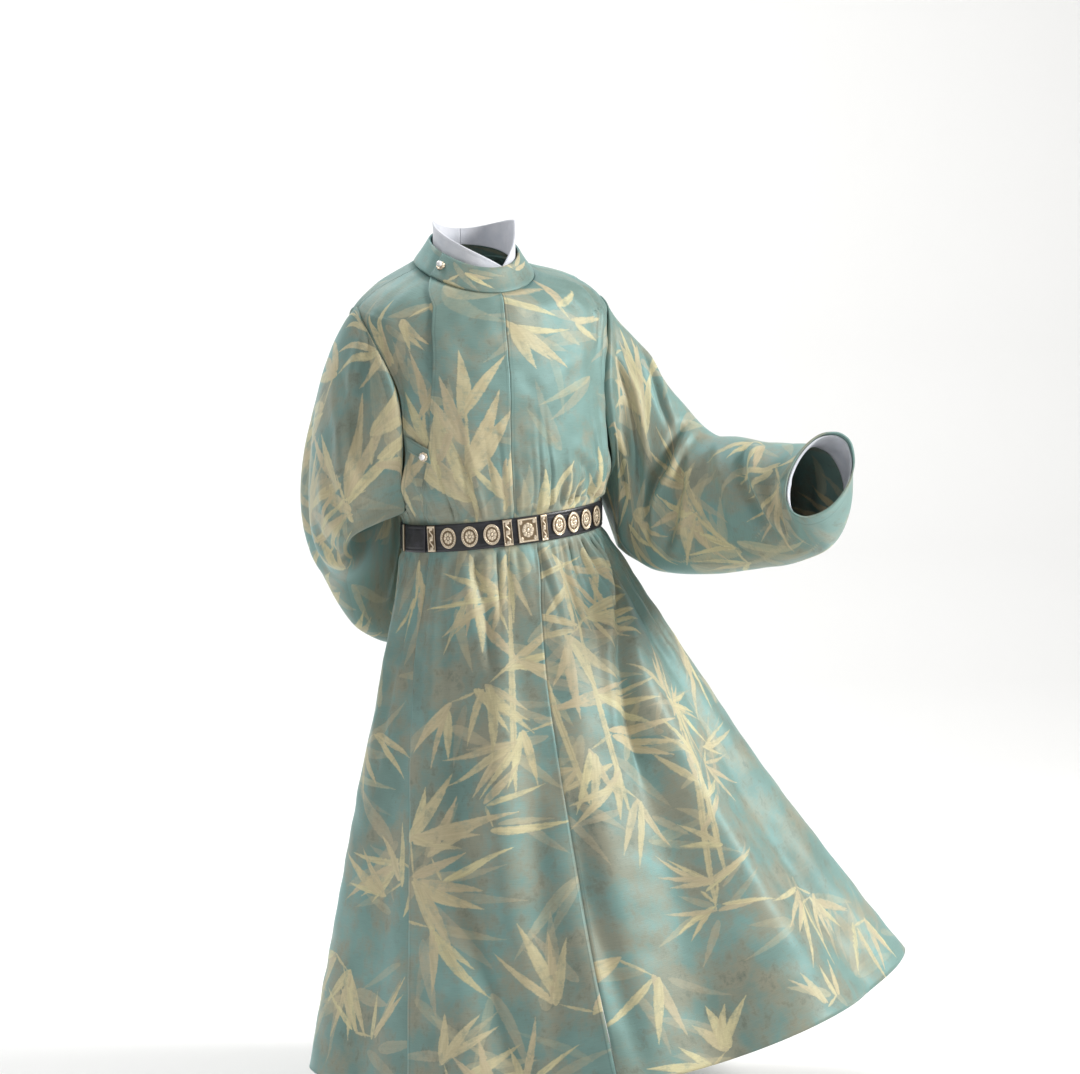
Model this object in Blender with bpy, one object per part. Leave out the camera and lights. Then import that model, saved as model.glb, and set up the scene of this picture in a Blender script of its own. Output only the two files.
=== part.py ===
"""A round-collar hanfu robe, worn and belted, as the cloth pieces that a maker would cut.

Frame: the wearer faces -Y, their left is +X, +Z is up, and the origin is the middle of the
neck ring, where the robe hangs on the shoulders. Sizes are metres and angles are degrees
unless a name says otherwise.
"""

import math
from collections import namedtuple

import bmesh
import bpy
import numpy as np
from mathutils import Matrix, Vector

CLOTH = 0.002
SEAM = 0.0003
DOWN_STEP = 1e-4
TURN_STEP = 0.05

BELT_TOP = 0.340
BELT_HEIGHT = 0.040
BELT_BOTTOM = BELT_TOP + BELT_HEIGHT
SKIRT_LENGTH = 0.755
HEM = BELT_BOTTOM + SKIRT_LENGTH

ARMHOLE_TOP = 0.050
ARMHOLE_BOTTOM = 0.325
ARMHOLE_HALF_ANGLE = 30.0

# One row for each level ring of the robe, from the neck seam to the belt. down is how far
# below the neck it lies, nod how much lower the front is than the side, bow how much lower
# both front and back are, and sway how much the +X side is raised.
Ring = namedtuple("Ring", "name down x y half_width front back nod bow sway")
RINGS = (
    Ring("neck seam", 0.000, 0.000, 0.000, 0.083, 0.082, 0.074, 0.026, 0.008, 0.000),
    Ring("yoke", 0.024, 0.010, 0.002, 0.152, 0.096, 0.092, 0.024, 0.012, 0.006),
    Ring("shoulder", 0.062, 0.012, 0.004, 0.186, 0.108, 0.106, 0.020, 0.014, 0.006),
    Ring("chest", 0.170, 0.016, 0.000, 0.174, 0.130, 0.118, 0.006, 0.004, 0.004),
    Ring("rib", 0.280, 0.028, -0.008, 0.166, 0.124, 0.110, 0.000, 0.000, 0.010),
    Ring("belt top", BELT_TOP, 0.036, -0.014, 0.143, 0.102, 0.098, 0.000, 0.000, 0.015),
    Ring("belt bottom", BELT_BOTTOM, 0.036, -0.014, 0.143, 0.102, 0.098, 0.000, 0.000, 0.015),
)

# The hem's outline on the floor plane, swept to the wearer's left, and turned.
HEM_X = 0.180
HEM_Y = -0.065
HEM_HALF_WIDTH = 0.420
HEM_FRONT = 0.280
HEM_BACK = 0.280
HEM_TURN = -20.0
HEM_FLARE_RIGHT = 0.09
HEM_HOLLOW_LEFT = 0.13

# The free edge of the outer front and the centre front seam, as angles round the robe at
# each distance down it. The belt holds the skirt's centre seam a little to one side.
Edge = namedtuple("Edge", "down angle")
CLOSURE = (
    Edge(0.000, -66.0),
    Edge(0.024, -44.0),
    Edge(0.060, -35.0),
    Edge(0.170, -42.0),
    Edge(0.250, -48.0),
    Edge(BELT_TOP, -62.0),
    Edge(BELT_BOTTOM, -61.0),
    Edge(0.500, -62.0),
    Edge(0.600, -58.5),
    Edge(0.750, -52.0),
    Edge(0.900, -47.5),
    Edge(HEM, -43.0),
)
CENTRE_SEAM = (
    Edge(0.000, 6.0),
    Edge(0.060, -1.0),
    Edge(0.170, -4.0),
    Edge(BELT_TOP, -9.0),
    Edge(BELT_BOTTOM, 5.0),
    Edge(0.480, 0.5),
    Edge(0.600, -2.0),
    Edge(0.900, -1.5),
    Edge(HEM, 0.0),
)

# The right front dips this far to pass under the outer front, all within a few degrees.
UNDER_DROP = CLOTH + 2 * SEAM
UNDER_DIP = 1.5
UNDER_COLUMNS = 5
OVERLAP_COLUMNS = 9
PANEL_COLUMNS = 11
YOKE_ROWS = (0.0, 0.012, 0.024, 0.037)
SKIRT_ROWS = (0.05, 0.12, 0.21, 0.33, 0.46, 0.60, 0.74, 0.87, 1.0)

# The largest folds. Each runs from one angle and distance down the robe to another, and its
# rise is outward, or inward below zero, at its two ends. spread is its half width in degrees.
Fold = namedtuple("Fold", "name angle_top angle_end top end rise_top rise_end spread_top spread_end")
FOLDS = (
    Fold("front left trough", 28, 20, 0.400, HEM, -0.008, -0.022, 6, 9),
    Fold("front left ridge", 42, 40, 0.420, HEM, 0.006, 0.022, 7, 13),
    Fold("left trough", 60, 62, 0.420, HEM, -0.006, -0.024, 7, 9),
    Fold("left ridge", 80, 86, 0.440, HEM, 0.003, 0.006, 8, 12),
    Fold("centre ridge", 8, 2, 0.400, HEM, 0.006, 0.014, 5, 8),
    Fold("front middle trough", -14, -14, 0.420, HEM, -0.005, -0.024, 6, 9),
    Fold("front right ridge", -30, -30, 0.440, HEM, 0.004, 0.016, 7, 8),
    Fold("right trough", -62, -60, 0.440, HEM, -0.004, -0.016, 7, 9),
    Fold("right ridge", -84, -82, 0.440, HEM, 0.003, 0.010, 8, 10),
    Fold("back left trough", 112, 108, 0.430, HEM, -0.006, -0.024, 7, 10),
    Fold("back left ridge", 132, 132, 0.430, HEM, 0.006, 0.024, 8, 11),
    Fold("back middle trough", 158, 156, 0.430, HEM, -0.006, -0.024, 8, 11),
    Fold("back middle ridge", 180, 180, 0.430, HEM, 0.006, 0.022, 8, 10),
    Fold("back right trough", -156, -154, 0.430, HEM, -0.006, -0.022, 8, 11),
    Fold("back right ridge", -130, -130, 0.430, HEM, 0.006, 0.022, 8, 11),
    Fold("back far right trough", -106, -106, 0.430, HEM, -0.005, -0.020, 7, 9),
    Fold("left blouse", 56, 60, 0.200, 0.332, 0.002, 0.009, 12, 14),
    Fold("front blouse", 4, 6, 0.240, 0.332, 0.001, 0.008, 14, 16),
    Fold("right blouse", -52, -56, 0.220, 0.332, 0.001, 0.008, 12, 14),
    Fold("back left blouse", 140, 140, 0.220, 0.332, 0.002, 0.010, 14, 16),
    Fold("back right blouse", -140, -140, 0.220, 0.332, 0.002, 0.010, 14, 16),
)
FOLD_FADE = 0.045

# One row for each cross-section of a sleeve. heading is the way the sleeve runs round the
# vertical, from +X, lean how far it points up, roll turns the section about its run, and
# taper narrows its top and widens its bottom by that share.
Section = namedtuple("Section", "name x y z heading lean roll half_height half_depth taper")
LEFT_SLEEVE = (
    Section("head", 0.212, -0.006, -0.226, -16, 0, 0, 0.156, 0.060, 0.30),
    Section("upper", 0.238, -0.018, -0.262, -24, -6, 0, 0.144, 0.064, 0.20),
    Section("elbow back", 0.274, -0.046, -0.308, -38, -8, 0, 0.124, 0.066, 0.10),
    Section("elbow", 0.314, -0.094, -0.335, -56, -4, 0, 0.101, 0.068, 0.00),
    Section("forearm", 0.345, -0.158, -0.331, -62, 4, 0, 0.093, 0.064, 0.00),
    Section("wrist", 0.371, -0.224, -0.327, -64, 6, 4, 0.084, 0.060, 0.00),
    Section("cuff turn", 0.396, -0.285, -0.313, -84, 14, 14, 0.076, 0.054, 0.00),
    Section("mouth", 0.378, -0.331, -0.278, -104, 24, 34, 0.068, 0.040, 0.00),
)
RIGHT_SLEEVE = (
    Section("head", -0.177, 0.010, -0.216, 158, 0, 0, 0.156, 0.054, 0.40),
    Section("upper", -0.176, 0.058, -0.264, 118, -4, 0, 0.156, 0.054, 0.30),
    Section("elbow", -0.152, 0.120, -0.312, 82, -6, 0, 0.142, 0.058, 0.15),
    Section("forearm", -0.100, 0.170, -0.386, 42, -6, 0, 0.140, 0.050, 0.00),
    Section("behind back", -0.042, 0.196, -0.418, 14, 0, 0, 0.132, 0.044, 0.00),
    Section("wrist", 0.022, 0.204, -0.410, 2, 6, 0, 0.106, 0.042, 0.00),
    Section("mouth", 0.080, 0.200, -0.394, -6, 8, 0, 0.078, 0.040, 0.00),
)
SLEEVE_ROOT = 0.003
SLEEVE_TURN = 0.009
SLEEVE_AROUND = 24
SLEEVE_ALONG = 15
INNER_CUFF_ROWS = 3
INNER_CUFF_END = 0.8

COLLAR_TOP_WIDTH = 0.061
COLLAR_TOP_FRONT = 0.066
COLLAR_TOP_BACK = 0.060
COLLAR_TOP_RISE = 0.033
COLLAR_TOP_NOD = 0.026
COLLAR_TOP_BOW = 0.006
COLLAR_FOOT = 0.03
COLLAR_ROUNDING = 0.18
COLLAR_COLUMNS = 26
COLLAR_CLOTH = 0.0024

# The white crossed collar inside: its top edge falls from each side to the point of the V.
INNER_CLOTH = 0.0016
INNER_SHARE = 0.946
INNER_HIGH = 0.068
INNER_LOW = 0.003
INNER_POINT = 20.0
INNER_RIGHT_SIDE = -112.0
INNER_LEFT_SIDE = 72.0
INNER_CROSSING = 15.0
INNER_DEPTH = 0.020
INNER_LEAST = 0.012
INNER_BACK = 179.8
INNER_OVER_FROM = 70.0
INNER_OVER_WITHIN = 30.0

TAB_DOWN = 0.222
TAB_HEIGHT = 0.020
TAB_START = -59.0
TAB_END = -47.0
TAB_SLOPE = 0.018

BELT_THICKNESS = 0.003
STRAP_HEIGHT = 0.038
STRAP_COLUMNS = 48
KEEPER_START = -83.0
KEEPER_END = -63.0
KEEPER_PROUD = 0.002
PLAQUE_THICKNESS = 0.0024

# What is riveted on the belt: its place round the belt, and its size.
Fitting = namedtuple("Fitting", "name angle shape width height")
FITTINGS = (
    Fitting("end_bar", -86.5, "plate", 0.004, 0.038),
    Fitting("right_bar", -58.5, "plate", 0.012, 0.037),
    Fitting("medallion_right_1", -47.0, "medallion", 0.023, 0.030),
    Fitting("medallion_right_2", -34.0, "medallion", 0.024, 0.030),
    Fitting("medallion_right_3", -21.5, "medallion", 0.024, 0.030),
    Fitting("narrow_plaque", -12.5, "plate", 0.013, 0.037),
    Fitting("square_plaque", -1.3, "plate", 0.029, 0.034),
    Fitting("left_bar", 8.5, "plate", 0.010, 0.037),
    Fitting("medallion_left_1", 18.0, "medallion", 0.023, 0.030),
    Fitting("medallion_left_2", 28.5, "medallion", 0.023, 0.030),
    Fitting("medallion_left_3", 39.5, "medallion", 0.023, 0.030),
    Fitting("medallion_left_4", 52.0, "medallion", 0.023, 0.030),
    Fitting("back_plaque_1", 102.0, "plate", 0.026, 0.032),
    Fitting("back_plaque_2", 124.0, "plate", 0.026, 0.032),
    Fitting("back_plaque_3", 148.0, "plate", 0.026, 0.032),
    Fitting("back_plaque_4", 170.0, "plate", 0.026, 0.032),
    Fitting("back_plaque_5", -168.0, "plate", 0.026, 0.032),
    Fitting("back_plaque_6", -146.0, "plate", 0.026, 0.032),
    Fitting("back_plaque_7", -122.0, "plate", 0.026, 0.032),
)
MEDALLION_SIDES = 16
MEDALLION_DOME = 0.82

PEARL_RADIUS = 0.0042
PEARL_MOUNT_RADIUS = 0.0068
PEARL_MOUNT_THICKNESS = 0.0016
BUTTON_SIDES = 12
BUTTON_SEAT = 0.0004
COLLAR_BUTTON_ANGLE = -60.0
SIDE_BUTTON_ANGLE = -50.0

COLOURS = {
    "robe_cloth": ((0.24, 0.36, 0.34), 0.45, 0.0),
    "white_cloth": ((0.62, 0.65, 0.72), 0.8, 0.0),
    "belt_leather": ((0.012, 0.012, 0.015), 0.4, 0.0),
    "pale_brass": ((0.62, 0.54, 0.38), 0.35, 0.9),
    "pearl": ((0.85, 0.85, 0.82), 0.2, 0.0),
}


def clear_scene():
    for thing in list(bpy.data.objects):
        bpy.data.objects.remove(thing)


def material(name):
    made = bpy.data.materials.get(name)
    if made:
        return made
    colour, roughness, metallic = COLOURS[name]
    made = bpy.data.materials.new(name)
    made.use_nodes = True
    shader = made.node_tree.nodes["Principled BSDF"]
    shader.inputs["Base Color"].default_value = (*colour, 1.0)
    shader.inputs["Roughness"].default_value = roughness
    shader.inputs["Metallic"].default_value = metallic
    return made


def smooth_slopes(at, values):
    """Slopes at each row for a curve that passes every row and never swings past one."""
    gaps = np.diff(at)
    rates = np.diff(values, axis=0) / gaps.reshape((-1,) + (1,) * (values.ndim - 1))
    slopes = np.zeros_like(values)
    slopes[0], slopes[-1] = rates[0], rates[-1]
    same_way = rates[:-1] * rates[1:] > 0
    total = np.where(same_way, rates[:-1] + rates[1:], 1.0)
    slopes[1:-1] = np.where(same_way, 2 * rates[:-1] * rates[1:] / total, 0.0)
    return slopes


def passing_slopes(at, values):
    """Slopes at each row for a free, rounded curve through the rows."""
    return np.gradient(values, at, axis=0)


def read_curve(at, values, wanted, slopes_of=smooth_slopes):
    """The table's values at the wanted places, along a cubic curve through its rows."""
    at, values = np.asarray(at, float), np.asarray(values, float)
    wanted = np.clip(wanted, at[0], at[-1])
    slopes = slopes_of(at, values)
    row = np.clip(np.searchsorted(at, wanted, side="right") - 1, 0, len(at) - 2)
    gap = at[row + 1] - at[row]
    t = (wanted - at[row]) / gap
    shape = t.shape + (1,) * (values.ndim - 1)
    t, gap = t.reshape(shape), gap.reshape(shape)
    h00 = 2 * t**3 - 3 * t**2 + 1
    h10 = t**3 - 2 * t**2 + t
    h01 = -2 * t**3 + 3 * t**2
    h11 = t**3 - t**2
    passed = h00 * values[row] + h01 * values[row + 1]
    return passed + gap * (h10 * slopes[row] + h11 * slopes[row + 1])


def ease(x):
    x = np.clip(x, 0.0, 1.0)
    return x * x * (3 - 2 * x)


def turned_from(angle, centre):
    """How far one angle lies from another, the short way round."""
    return (angle - centre + 180.0) % 360.0 - 180.0


def fold_rise(angle, down):
    """How far the folds lift the cloth at an angle round the robe and a distance down it."""
    rise = np.zeros(np.broadcast(angle, down).shape)
    for fold in FOLDS:
        t = np.clip((down - fold.top) / (fold.end - fold.top), 0.0, 1.0)
        centre = fold.angle_top + (fold.angle_end - fold.angle_top) * t
        spread = fold.spread_top + (fold.spread_end - fold.spread_top) * t
        height = fold.rise_top + (fold.rise_end - fold.rise_top) * t
        fade = ease((down - fold.top + FOLD_FADE) / FOLD_FADE)
        if fold.end < HEM:
            fade = fade * ease((BELT_TOP - down) / (BELT_TOP - fold.end) / 2)
        else:
            fade = fade * ease((down - BELT_BOTTOM) / FOLD_FADE)
        rise += height * fade * np.exp(-((turned_from(angle, centre) / spread) ** 2))
    return rise


def ring_column(name, down):
    return read_curve([ring.down for ring in RINGS], [getattr(ring, name) for ring in RINGS], down)


def ring_point(angle, down):
    """A point of the robe above the belt, before its folds."""
    turn = np.radians(angle)
    across, ahead = np.sin(turn), np.cos(turn)
    depth = np.where(ahead > 0, ring_column("front", down), ring_column("back", down))
    x = ring_column("x", down) + ring_column("half_width", down) * across
    y = ring_column("y", down) - depth * ahead
    z = -down - ring_column("nod", down) * ahead - ring_column("bow", down) * ahead**2
    return np.stack([x, y, z + ring_column("sway", down) * across], -1)


def skirt_point(angle, down):
    """A point of the skirt: straight from the belt to the hem, each line of one length."""
    t = np.maximum((down - BELT_BOTTOM) / SKIRT_LENGTH, 0.0)
    turn, spin = np.radians(angle), math.radians(HEM_TURN)
    across, ahead = np.sin(turn), np.cos(turn)
    wide = HEM_HALF_WIDTH * across
    deep = -np.where(ahead > 0, HEM_FRONT, HEM_BACK) * ahead
    waist = ring_point(angle, np.full(np.shape(t), BELT_BOTTOM))
    reach_x = HEM_X + wide * math.cos(spin) - deep * math.sin(spin) - waist[..., 0]
    reach_y = HEM_Y + wide * math.sin(spin) + deep * math.cos(spin) - waist[..., 1]
    fall = np.sqrt(SKIRT_LENGTH**2 - reach_x**2 - reach_y**2)
    bow = HEM_FLARE_RIGHT * np.clip(-across, 0, 1) - HEM_HOLLOW_LEFT * np.clip(across, 0, 1)
    bulge = t + bow * t * (1 - t)
    x = waist[..., 0] + reach_x * bulge
    y = waist[..., 1] + reach_y * bulge
    return np.stack([x, y, waist[..., 2] - fall * t], -1)


def plain_point(angle, down):
    angle, down = np.broadcast_arrays(np.asarray(angle, float), np.asarray(down, float))
    above = ring_point(angle, np.minimum(down, BELT_BOTTOM))
    return np.where((down > BELT_BOTTOM)[..., None], skirt_point(angle, down), above)


def outward(point_of, angle, down):
    """The surface's direction away from the wearer, worked out from points close by."""
    along = point_of(angle, down + DOWN_STEP) - point_of(angle, down - DOWN_STEP)
    around = point_of(angle + TURN_STEP, down) - point_of(angle - TURN_STEP, down)
    normal = np.cross(along, around)
    return normal / np.linalg.norm(normal, axis=-1, keepdims=True)


def robe_point(angle, down, lift=0.0):
    """A point of the robe, lift metres outside the inner face of its cloth."""
    angle, down = np.broadcast_arrays(np.asarray(angle, float), np.asarray(down, float))
    rise = fold_rise(angle, down) + lift
    return plain_point(angle, down) + outward(plain_point, angle, down) * rise[..., None]


def folded_point(angle, down):
    return robe_point(angle, down)


def cloth_faces(angle, down, lift, thickness=CLOTH):
    """The outer and inner points of a piece of cloth that lies on the robe's form."""
    base = folded_point(angle, down)
    normal = outward(folded_point, angle, down)
    lift = np.broadcast_to(np.asarray(lift, float), base.shape[:-1])[..., None]
    return base + normal * (lift + thickness), base + normal * lift


def add_object(name, mesh, material_name, smooth=True):
    thing = bpy.data.objects.new(name, mesh)
    mesh.materials.append(material(material_name))
    if smooth:
        mesh.shade_smooth()
    bpy.data.collections["hanfu"].objects.link(thing)
    return thing


def wall_mesh(name, outer, inner, material_name, round_closed=False):
    """One closed wall between two grids of points, open at its first and last rows."""
    rows, cols = outer.shape[:2]
    bm = bmesh.new()
    faces_of = [[[bm.verts.new(p) for p in row] for row in grid] for grid in (outer, inner)]
    out, ins = faces_of
    span = cols if round_closed else cols - 1
    for i in range(rows - 1):
        for j in range(span):
            k = (j + 1) % cols
            bm.faces.new((out[i][j], out[i + 1][j], out[i + 1][k]))
            bm.faces.new((out[i][j], out[i + 1][k], out[i][k]))
            bm.faces.new((ins[i][j], ins[i + 1][k], ins[i + 1][j]))
            bm.faces.new((ins[i][j], ins[i][k], ins[i + 1][k]))
    for j in range(span):
        k = (j + 1) % cols
        bm.faces.new((out[0][j], out[0][k], ins[0][k], ins[0][j]))
        bm.faces.new((out[-1][j], ins[-1][j], ins[-1][k], out[-1][k]))
    if not round_closed:
        for i in range(rows - 1):
            bm.faces.new((out[i][0], ins[i][0], ins[i + 1][0], out[i + 1][0]))
            bm.faces.new((out[i][-1], out[i + 1][-1], ins[i + 1][-1], ins[i][-1]))
    bmesh.ops.recalc_face_normals(bm, faces=bm.faces)
    mesh = bpy.data.meshes.new(name)
    bm.to_mesh(mesh)
    bm.free()
    return add_object(name, mesh, material_name)


def armhole_opening(down):
    """Half the angle that the armhole takes out of the robe at each distance down it."""
    middle = (ARMHOLE_TOP + ARMHOLE_BOTTOM) / 2
    half = (ARMHOLE_BOTTOM - ARMHOLE_TOP) / 2
    inside = np.clip(1 - ((down - middle) / half) ** 2, 0.0, 1.0)
    return ARMHOLE_HALF_ANGLE * np.sqrt(inside)


def panel_rows():
    """Distances down the robe for a panel's rows, close together where it bends."""
    middle = (ARMHOLE_TOP + ARMHOLE_BOTTOM) / 2
    half = (ARMHOLE_BOTTOM - ARMHOLE_TOP) / 2
    turns = np.linspace(0, math.pi, SLEEVE_AROUND // 2 + 1)
    skirt = BELT_BOTTOM + SKIRT_LENGTH * np.array(SKIRT_ROWS)
    return np.concatenate([YOKE_ROWS, middle - half * np.cos(turns), [BELT_TOP, BELT_BOTTOM], skirt])


def seam_angle(angle, down, side):
    """An angle moved half the seam's gap to one side."""
    around = plain_point(angle + 0.5, down) - plain_point(angle - 0.5, down)
    return angle + side * 0.5 * SEAM / np.linalg.norm(around, axis=-1)


def edge_angle(edges, down):
    return read_curve([edge.down for edge in edges], [edge.angle for edge in edges], down)


def spread_angles(low, high, columns):
    return low[:, None] + (high - low)[:, None] * np.linspace(0, 1, columns)[None, :]


def panel_angles(low, high, rows, columns):
    return spread_angles(seam_angle(low, rows, 1), seam_angle(high, rows, -1), columns)


def make_panel(name, angle, rows, lift=0.0):
    down = np.repeat(rows[:, None], angle.shape[1], axis=1)
    outer, inner = cloth_faces(angle, down, lift)
    wall_mesh(name, outer, inner, "robe_cloth")


def make_panels():
    rows = panel_rows()
    straight = np.zeros_like(rows)
    opening = armhole_opening(rows)
    closure = edge_angle(CLOSURE, rows)
    centre = edge_angle(CENTRE_SEAM, rows)
    overlap = panel_angles(closure, centre, rows, OVERLAP_COLUMNS)
    make_panel("front_left_panel", panel_angles(centre, 90 - opening, rows, PANEL_COLUMNS), rows)
    make_panel("front_overlap_panel", overlap, rows)
    make_panel("back_left_panel", panel_angles(90 + opening, straight + 180, rows, PANEL_COLUMNS), rows)
    back_right = panel_angles(straight + 180, 270 - opening, rows, PANEL_COLUMNS)
    make_panel("back_right_panel", back_right, rows)
    make_under_panel(rows, opening, overlap)


def make_under_panel(rows, opening, overlap):
    """The right front is level with the back at its side seam, and then dips under the outer
    front, whose columns it shares so that the two walls stay evenly apart."""
    side = seam_angle(opening - 90, rows, 1)
    before = spread_angles(side, overlap[:, 0] - UNDER_DIP, UNDER_COLUMNS)
    angle = np.concatenate([before, overlap[:, :-1]], axis=1)
    share = np.clip(np.arange(angle.shape[1]) / (UNDER_COLUMNS - 1), 0, 1)
    make_panel("front_right_panel", angle, rows, -UNDER_DROP * ease(share)[None, :])


def section_ring(side, section, thetas):
    """The points of one sleeve section: 0 is its top, and 90 the side that starts in front."""
    heading, lean, roll = (math.radians(a) for a in (section.heading, section.lean, section.roll))
    run = np.array([math.cos(heading) * math.cos(lean), math.sin(heading) * math.cos(lean), math.sin(lean)])
    fore = side * np.array([math.sin(heading), -math.cos(heading), 0.0])
    top = np.cross(fore, run)
    top = top if top[2] > 0 else -top
    up = top * math.cos(roll) - fore * math.sin(roll)
    across = fore * math.cos(roll) + top * math.sin(roll)
    turn = np.radians(thetas)[:, None]
    centre = np.array([section.x, section.y, section.z])
    depth = section.half_depth * (1 - section.taper * np.cos(turn))
    return centre + up * section.half_height * np.cos(turn) + across * depth * np.sin(turn)


def armhole_ring(side, thetas):
    """The armhole's edge on the robe, and the directions out of the robe and into the hole."""
    middle = (ARMHOLE_TOP + ARMHOLE_BOTTOM) / 2
    half = (ARMHOLE_BOTTOM - ARMHOLE_TOP) / 2
    turn = np.radians(thetas)
    down = middle - half * np.cos(turn)
    angle = side * (90 - ARMHOLE_HALF_ANGLE * np.sin(turn))
    edge, _ = cloth_faces(angle, down, 0.0)
    normal = outward(folded_point, angle, down)
    centre = folded_point(np.full_like(angle, side * 90.0), np.full_like(down, middle))
    inward = centre - edge
    inward -= normal * np.sum(inward * normal, -1, keepdims=True)
    inward /= np.linalg.norm(inward, axis=-1, keepdims=True)
    return edge, normal, inward


def sleeve_surface(side, sections, thetas, along):
    """Points of a sleeve's wall, from where it stands on the armhole's edge to its mouth."""
    edge, normal, _ = armhole_ring(side, thetas)
    front_and_back = np.sin(np.radians(thetas))[:, None] ** 2
    rings = [edge + normal * SLEEVE_ROOT, edge + normal * (SLEEVE_ROOT + SLEEVE_TURN * front_and_back)]
    rings += [section_ring(side, section, thetas) for section in sections]
    at = np.concatenate([[0.0, 0.04], np.linspace(0, 1, len(sections) + 1)[1:]])
    return read_curve(at, np.array(rings), along, passing_slopes)


def grid_normals(grid):
    """Outward directions of a tube's grid of points, rows along it and columns round it."""
    along = np.gradient(grid, axis=0)
    around = np.roll(grid, -1, axis=1) - np.roll(grid, 1, axis=1)
    normal = np.cross(around, along)
    normal /= np.linalg.norm(normal, axis=-1, keepdims=True)
    away = grid - grid.mean(axis=1, keepdims=True)
    return normal * np.sign(np.sum(normal * away))


def sleeve_walls(side, sections):
    """The middle of a sleeve's wall and its outward directions, from the armhole to the mouth."""
    thetas = np.linspace(0, 360, SLEEVE_AROUND, endpoint=False)
    along = np.concatenate([[0.0, 0.03], np.linspace(0.08, 1, SLEEVE_ALONG - 2)])
    surface = sleeve_surface(side, sections, thetas, along)
    return thetas, surface, grid_normals(surface)


def make_sleeve(name, side, sections):
    thetas, surface, normals = sleeve_walls(side, sections)
    outer = surface + normals * CLOTH / 2
    inner = surface - normals * CLOTH / 2
    edge, out, inward = armhole_ring(side, thetas)
    outer[0] = edge + out * SEAM
    inner[0] = edge + out * SEAM + inward * CLOTH
    wall_mesh(name, outer, inner, "robe_cloth", round_closed=True)


def make_inner_cuff():
    """The white cuff just inside the left mouth shares the sleeve's rows, and ends before it."""
    _, surface, normals = sleeve_walls(1, LEFT_SLEEVE)
    outer = (surface - normals * (CLOTH / 2 + 2 * SEAM))[-INNER_CUFF_ROWS:]
    inner = (surface - normals * (CLOTH / 2 + 2 * SEAM + INNER_CLOTH))[-INNER_CUFF_ROWS:]
    for face in (outer, inner):
        face[-1] = face[-2] + (face[-1] - face[-2]) * INNER_CUFF_END
    wall_mesh("left_inner_cuff", outer, inner, "white_cloth", round_closed=True)


def collar_top(angle):
    turn = np.radians(angle)
    across, ahead = np.sin(turn), np.cos(turn)
    depth = np.where(ahead > 0, COLLAR_TOP_FRONT, COLLAR_TOP_BACK)
    height = COLLAR_TOP_RISE - COLLAR_TOP_NOD * ahead - COLLAR_TOP_BOW * ahead**2
    return np.stack([COLLAR_TOP_WIDTH * across, -depth * ahead, height], -1)


def collar_point(angle, up):
    """A point of the standing collar band, from its seam at 0 to its top edge at 1."""
    seam, _ = cloth_faces(angle, np.zeros_like(angle), 0.0)
    top = collar_top(angle)
    lean = (up + COLLAR_ROUNDING * up * (1 - up))[..., None]
    flat = seam[..., :2] + (top[..., :2] - seam[..., :2]) * lean
    height = seam[..., 2] + (top[..., 2] - seam[..., 2]) * up
    return np.concatenate([flat, height[..., None]], -1)


def collar_outward(angle, up):
    around = collar_point(angle + 0.5, up) - collar_point(angle - 0.5, up)
    rising = collar_point(angle, up + 0.01) - collar_point(angle, up - 0.01)
    normal = np.cross(around, rising)
    return normal / np.linalg.norm(normal, axis=-1, keepdims=True)


def make_collar():
    """The band runs from the closure once round the neck, and one column on, under its start."""
    step = 360 / COLLAR_COLUMNS
    turns = step * np.arange(COLLAR_COLUMNS + 2)
    levels = np.linspace(COLLAR_FOOT, 1.0, 4)
    angle, up = np.meshgrid(CLOSURE[0].angle + turns, levels, indexing="ij")
    surface, normal = collar_point(angle, up), collar_outward(angle, up)
    share = ease((turns - 360) / step + 1)[:, None, None]
    drop = normal * (COLLAR_CLOTH + 2 * SEAM) * share
    outer = surface + normal * COLLAR_CLOTH - drop
    wall_mesh("collar_band", outer, surface - drop, "robe_cloth")


def inner_edge(angle, side):
    """The height of a white strip's top edge at an angle, falling to the point of the V."""
    foot = INNER_RIGHT_SIDE if side < 0 else INNER_LEFT_SIDE
    share = np.minimum((angle - INNER_POINT) / (foot - INNER_POINT), 1.0)
    return INNER_LOW + (INNER_HIGH - INNER_LOW) * share


def make_inner_collar(name, side):
    """A white strip from the back of the neck to just past the front, left over right."""
    turns = np.linspace(side * INNER_BACK, INNER_POINT - side * INNER_CROSSING, 16)
    angle, up = np.meshgrid(turns, np.linspace(0.0, 1.0, 3), indexing="ij")
    rim = collar_top(angle)
    foot = rim[..., 2] - INNER_DEPTH
    height = foot + np.maximum(inner_edge(angle, side) - foot, INNER_LEAST) * up
    over = ease((INNER_OVER_FROM - angle) / INNER_OVER_WITHIN)[..., None] if side > 0 else 0.0
    direction = np.stack([np.sin(np.radians(angle)), -np.cos(np.radians(angle)), 0 * angle], -1)
    face = rim * INNER_SHARE + direction * over * (INNER_CLOTH + SEAM)
    outer = np.concatenate([face[..., :2], height[..., None]], -1)
    wall_mesh(name, outer, outer - direction * INNER_CLOTH, "white_cloth")


def make_tab():
    """The cloth tab that holds the second button, from the side across to the outer front."""
    angle, share = np.meshgrid(np.linspace(TAB_START, TAB_END, 6), np.array([0.0, 1.0]), indexing="ij")
    slope = TAB_SLOPE * (angle - TAB_START) / (TAB_END - TAB_START)
    outer, inner = cloth_faces(angle, TAB_DOWN + slope + TAB_HEIGHT * share, CLOTH + SEAM)
    wall_mesh("fastening_tab", outer, inner, "robe_cloth")


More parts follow.
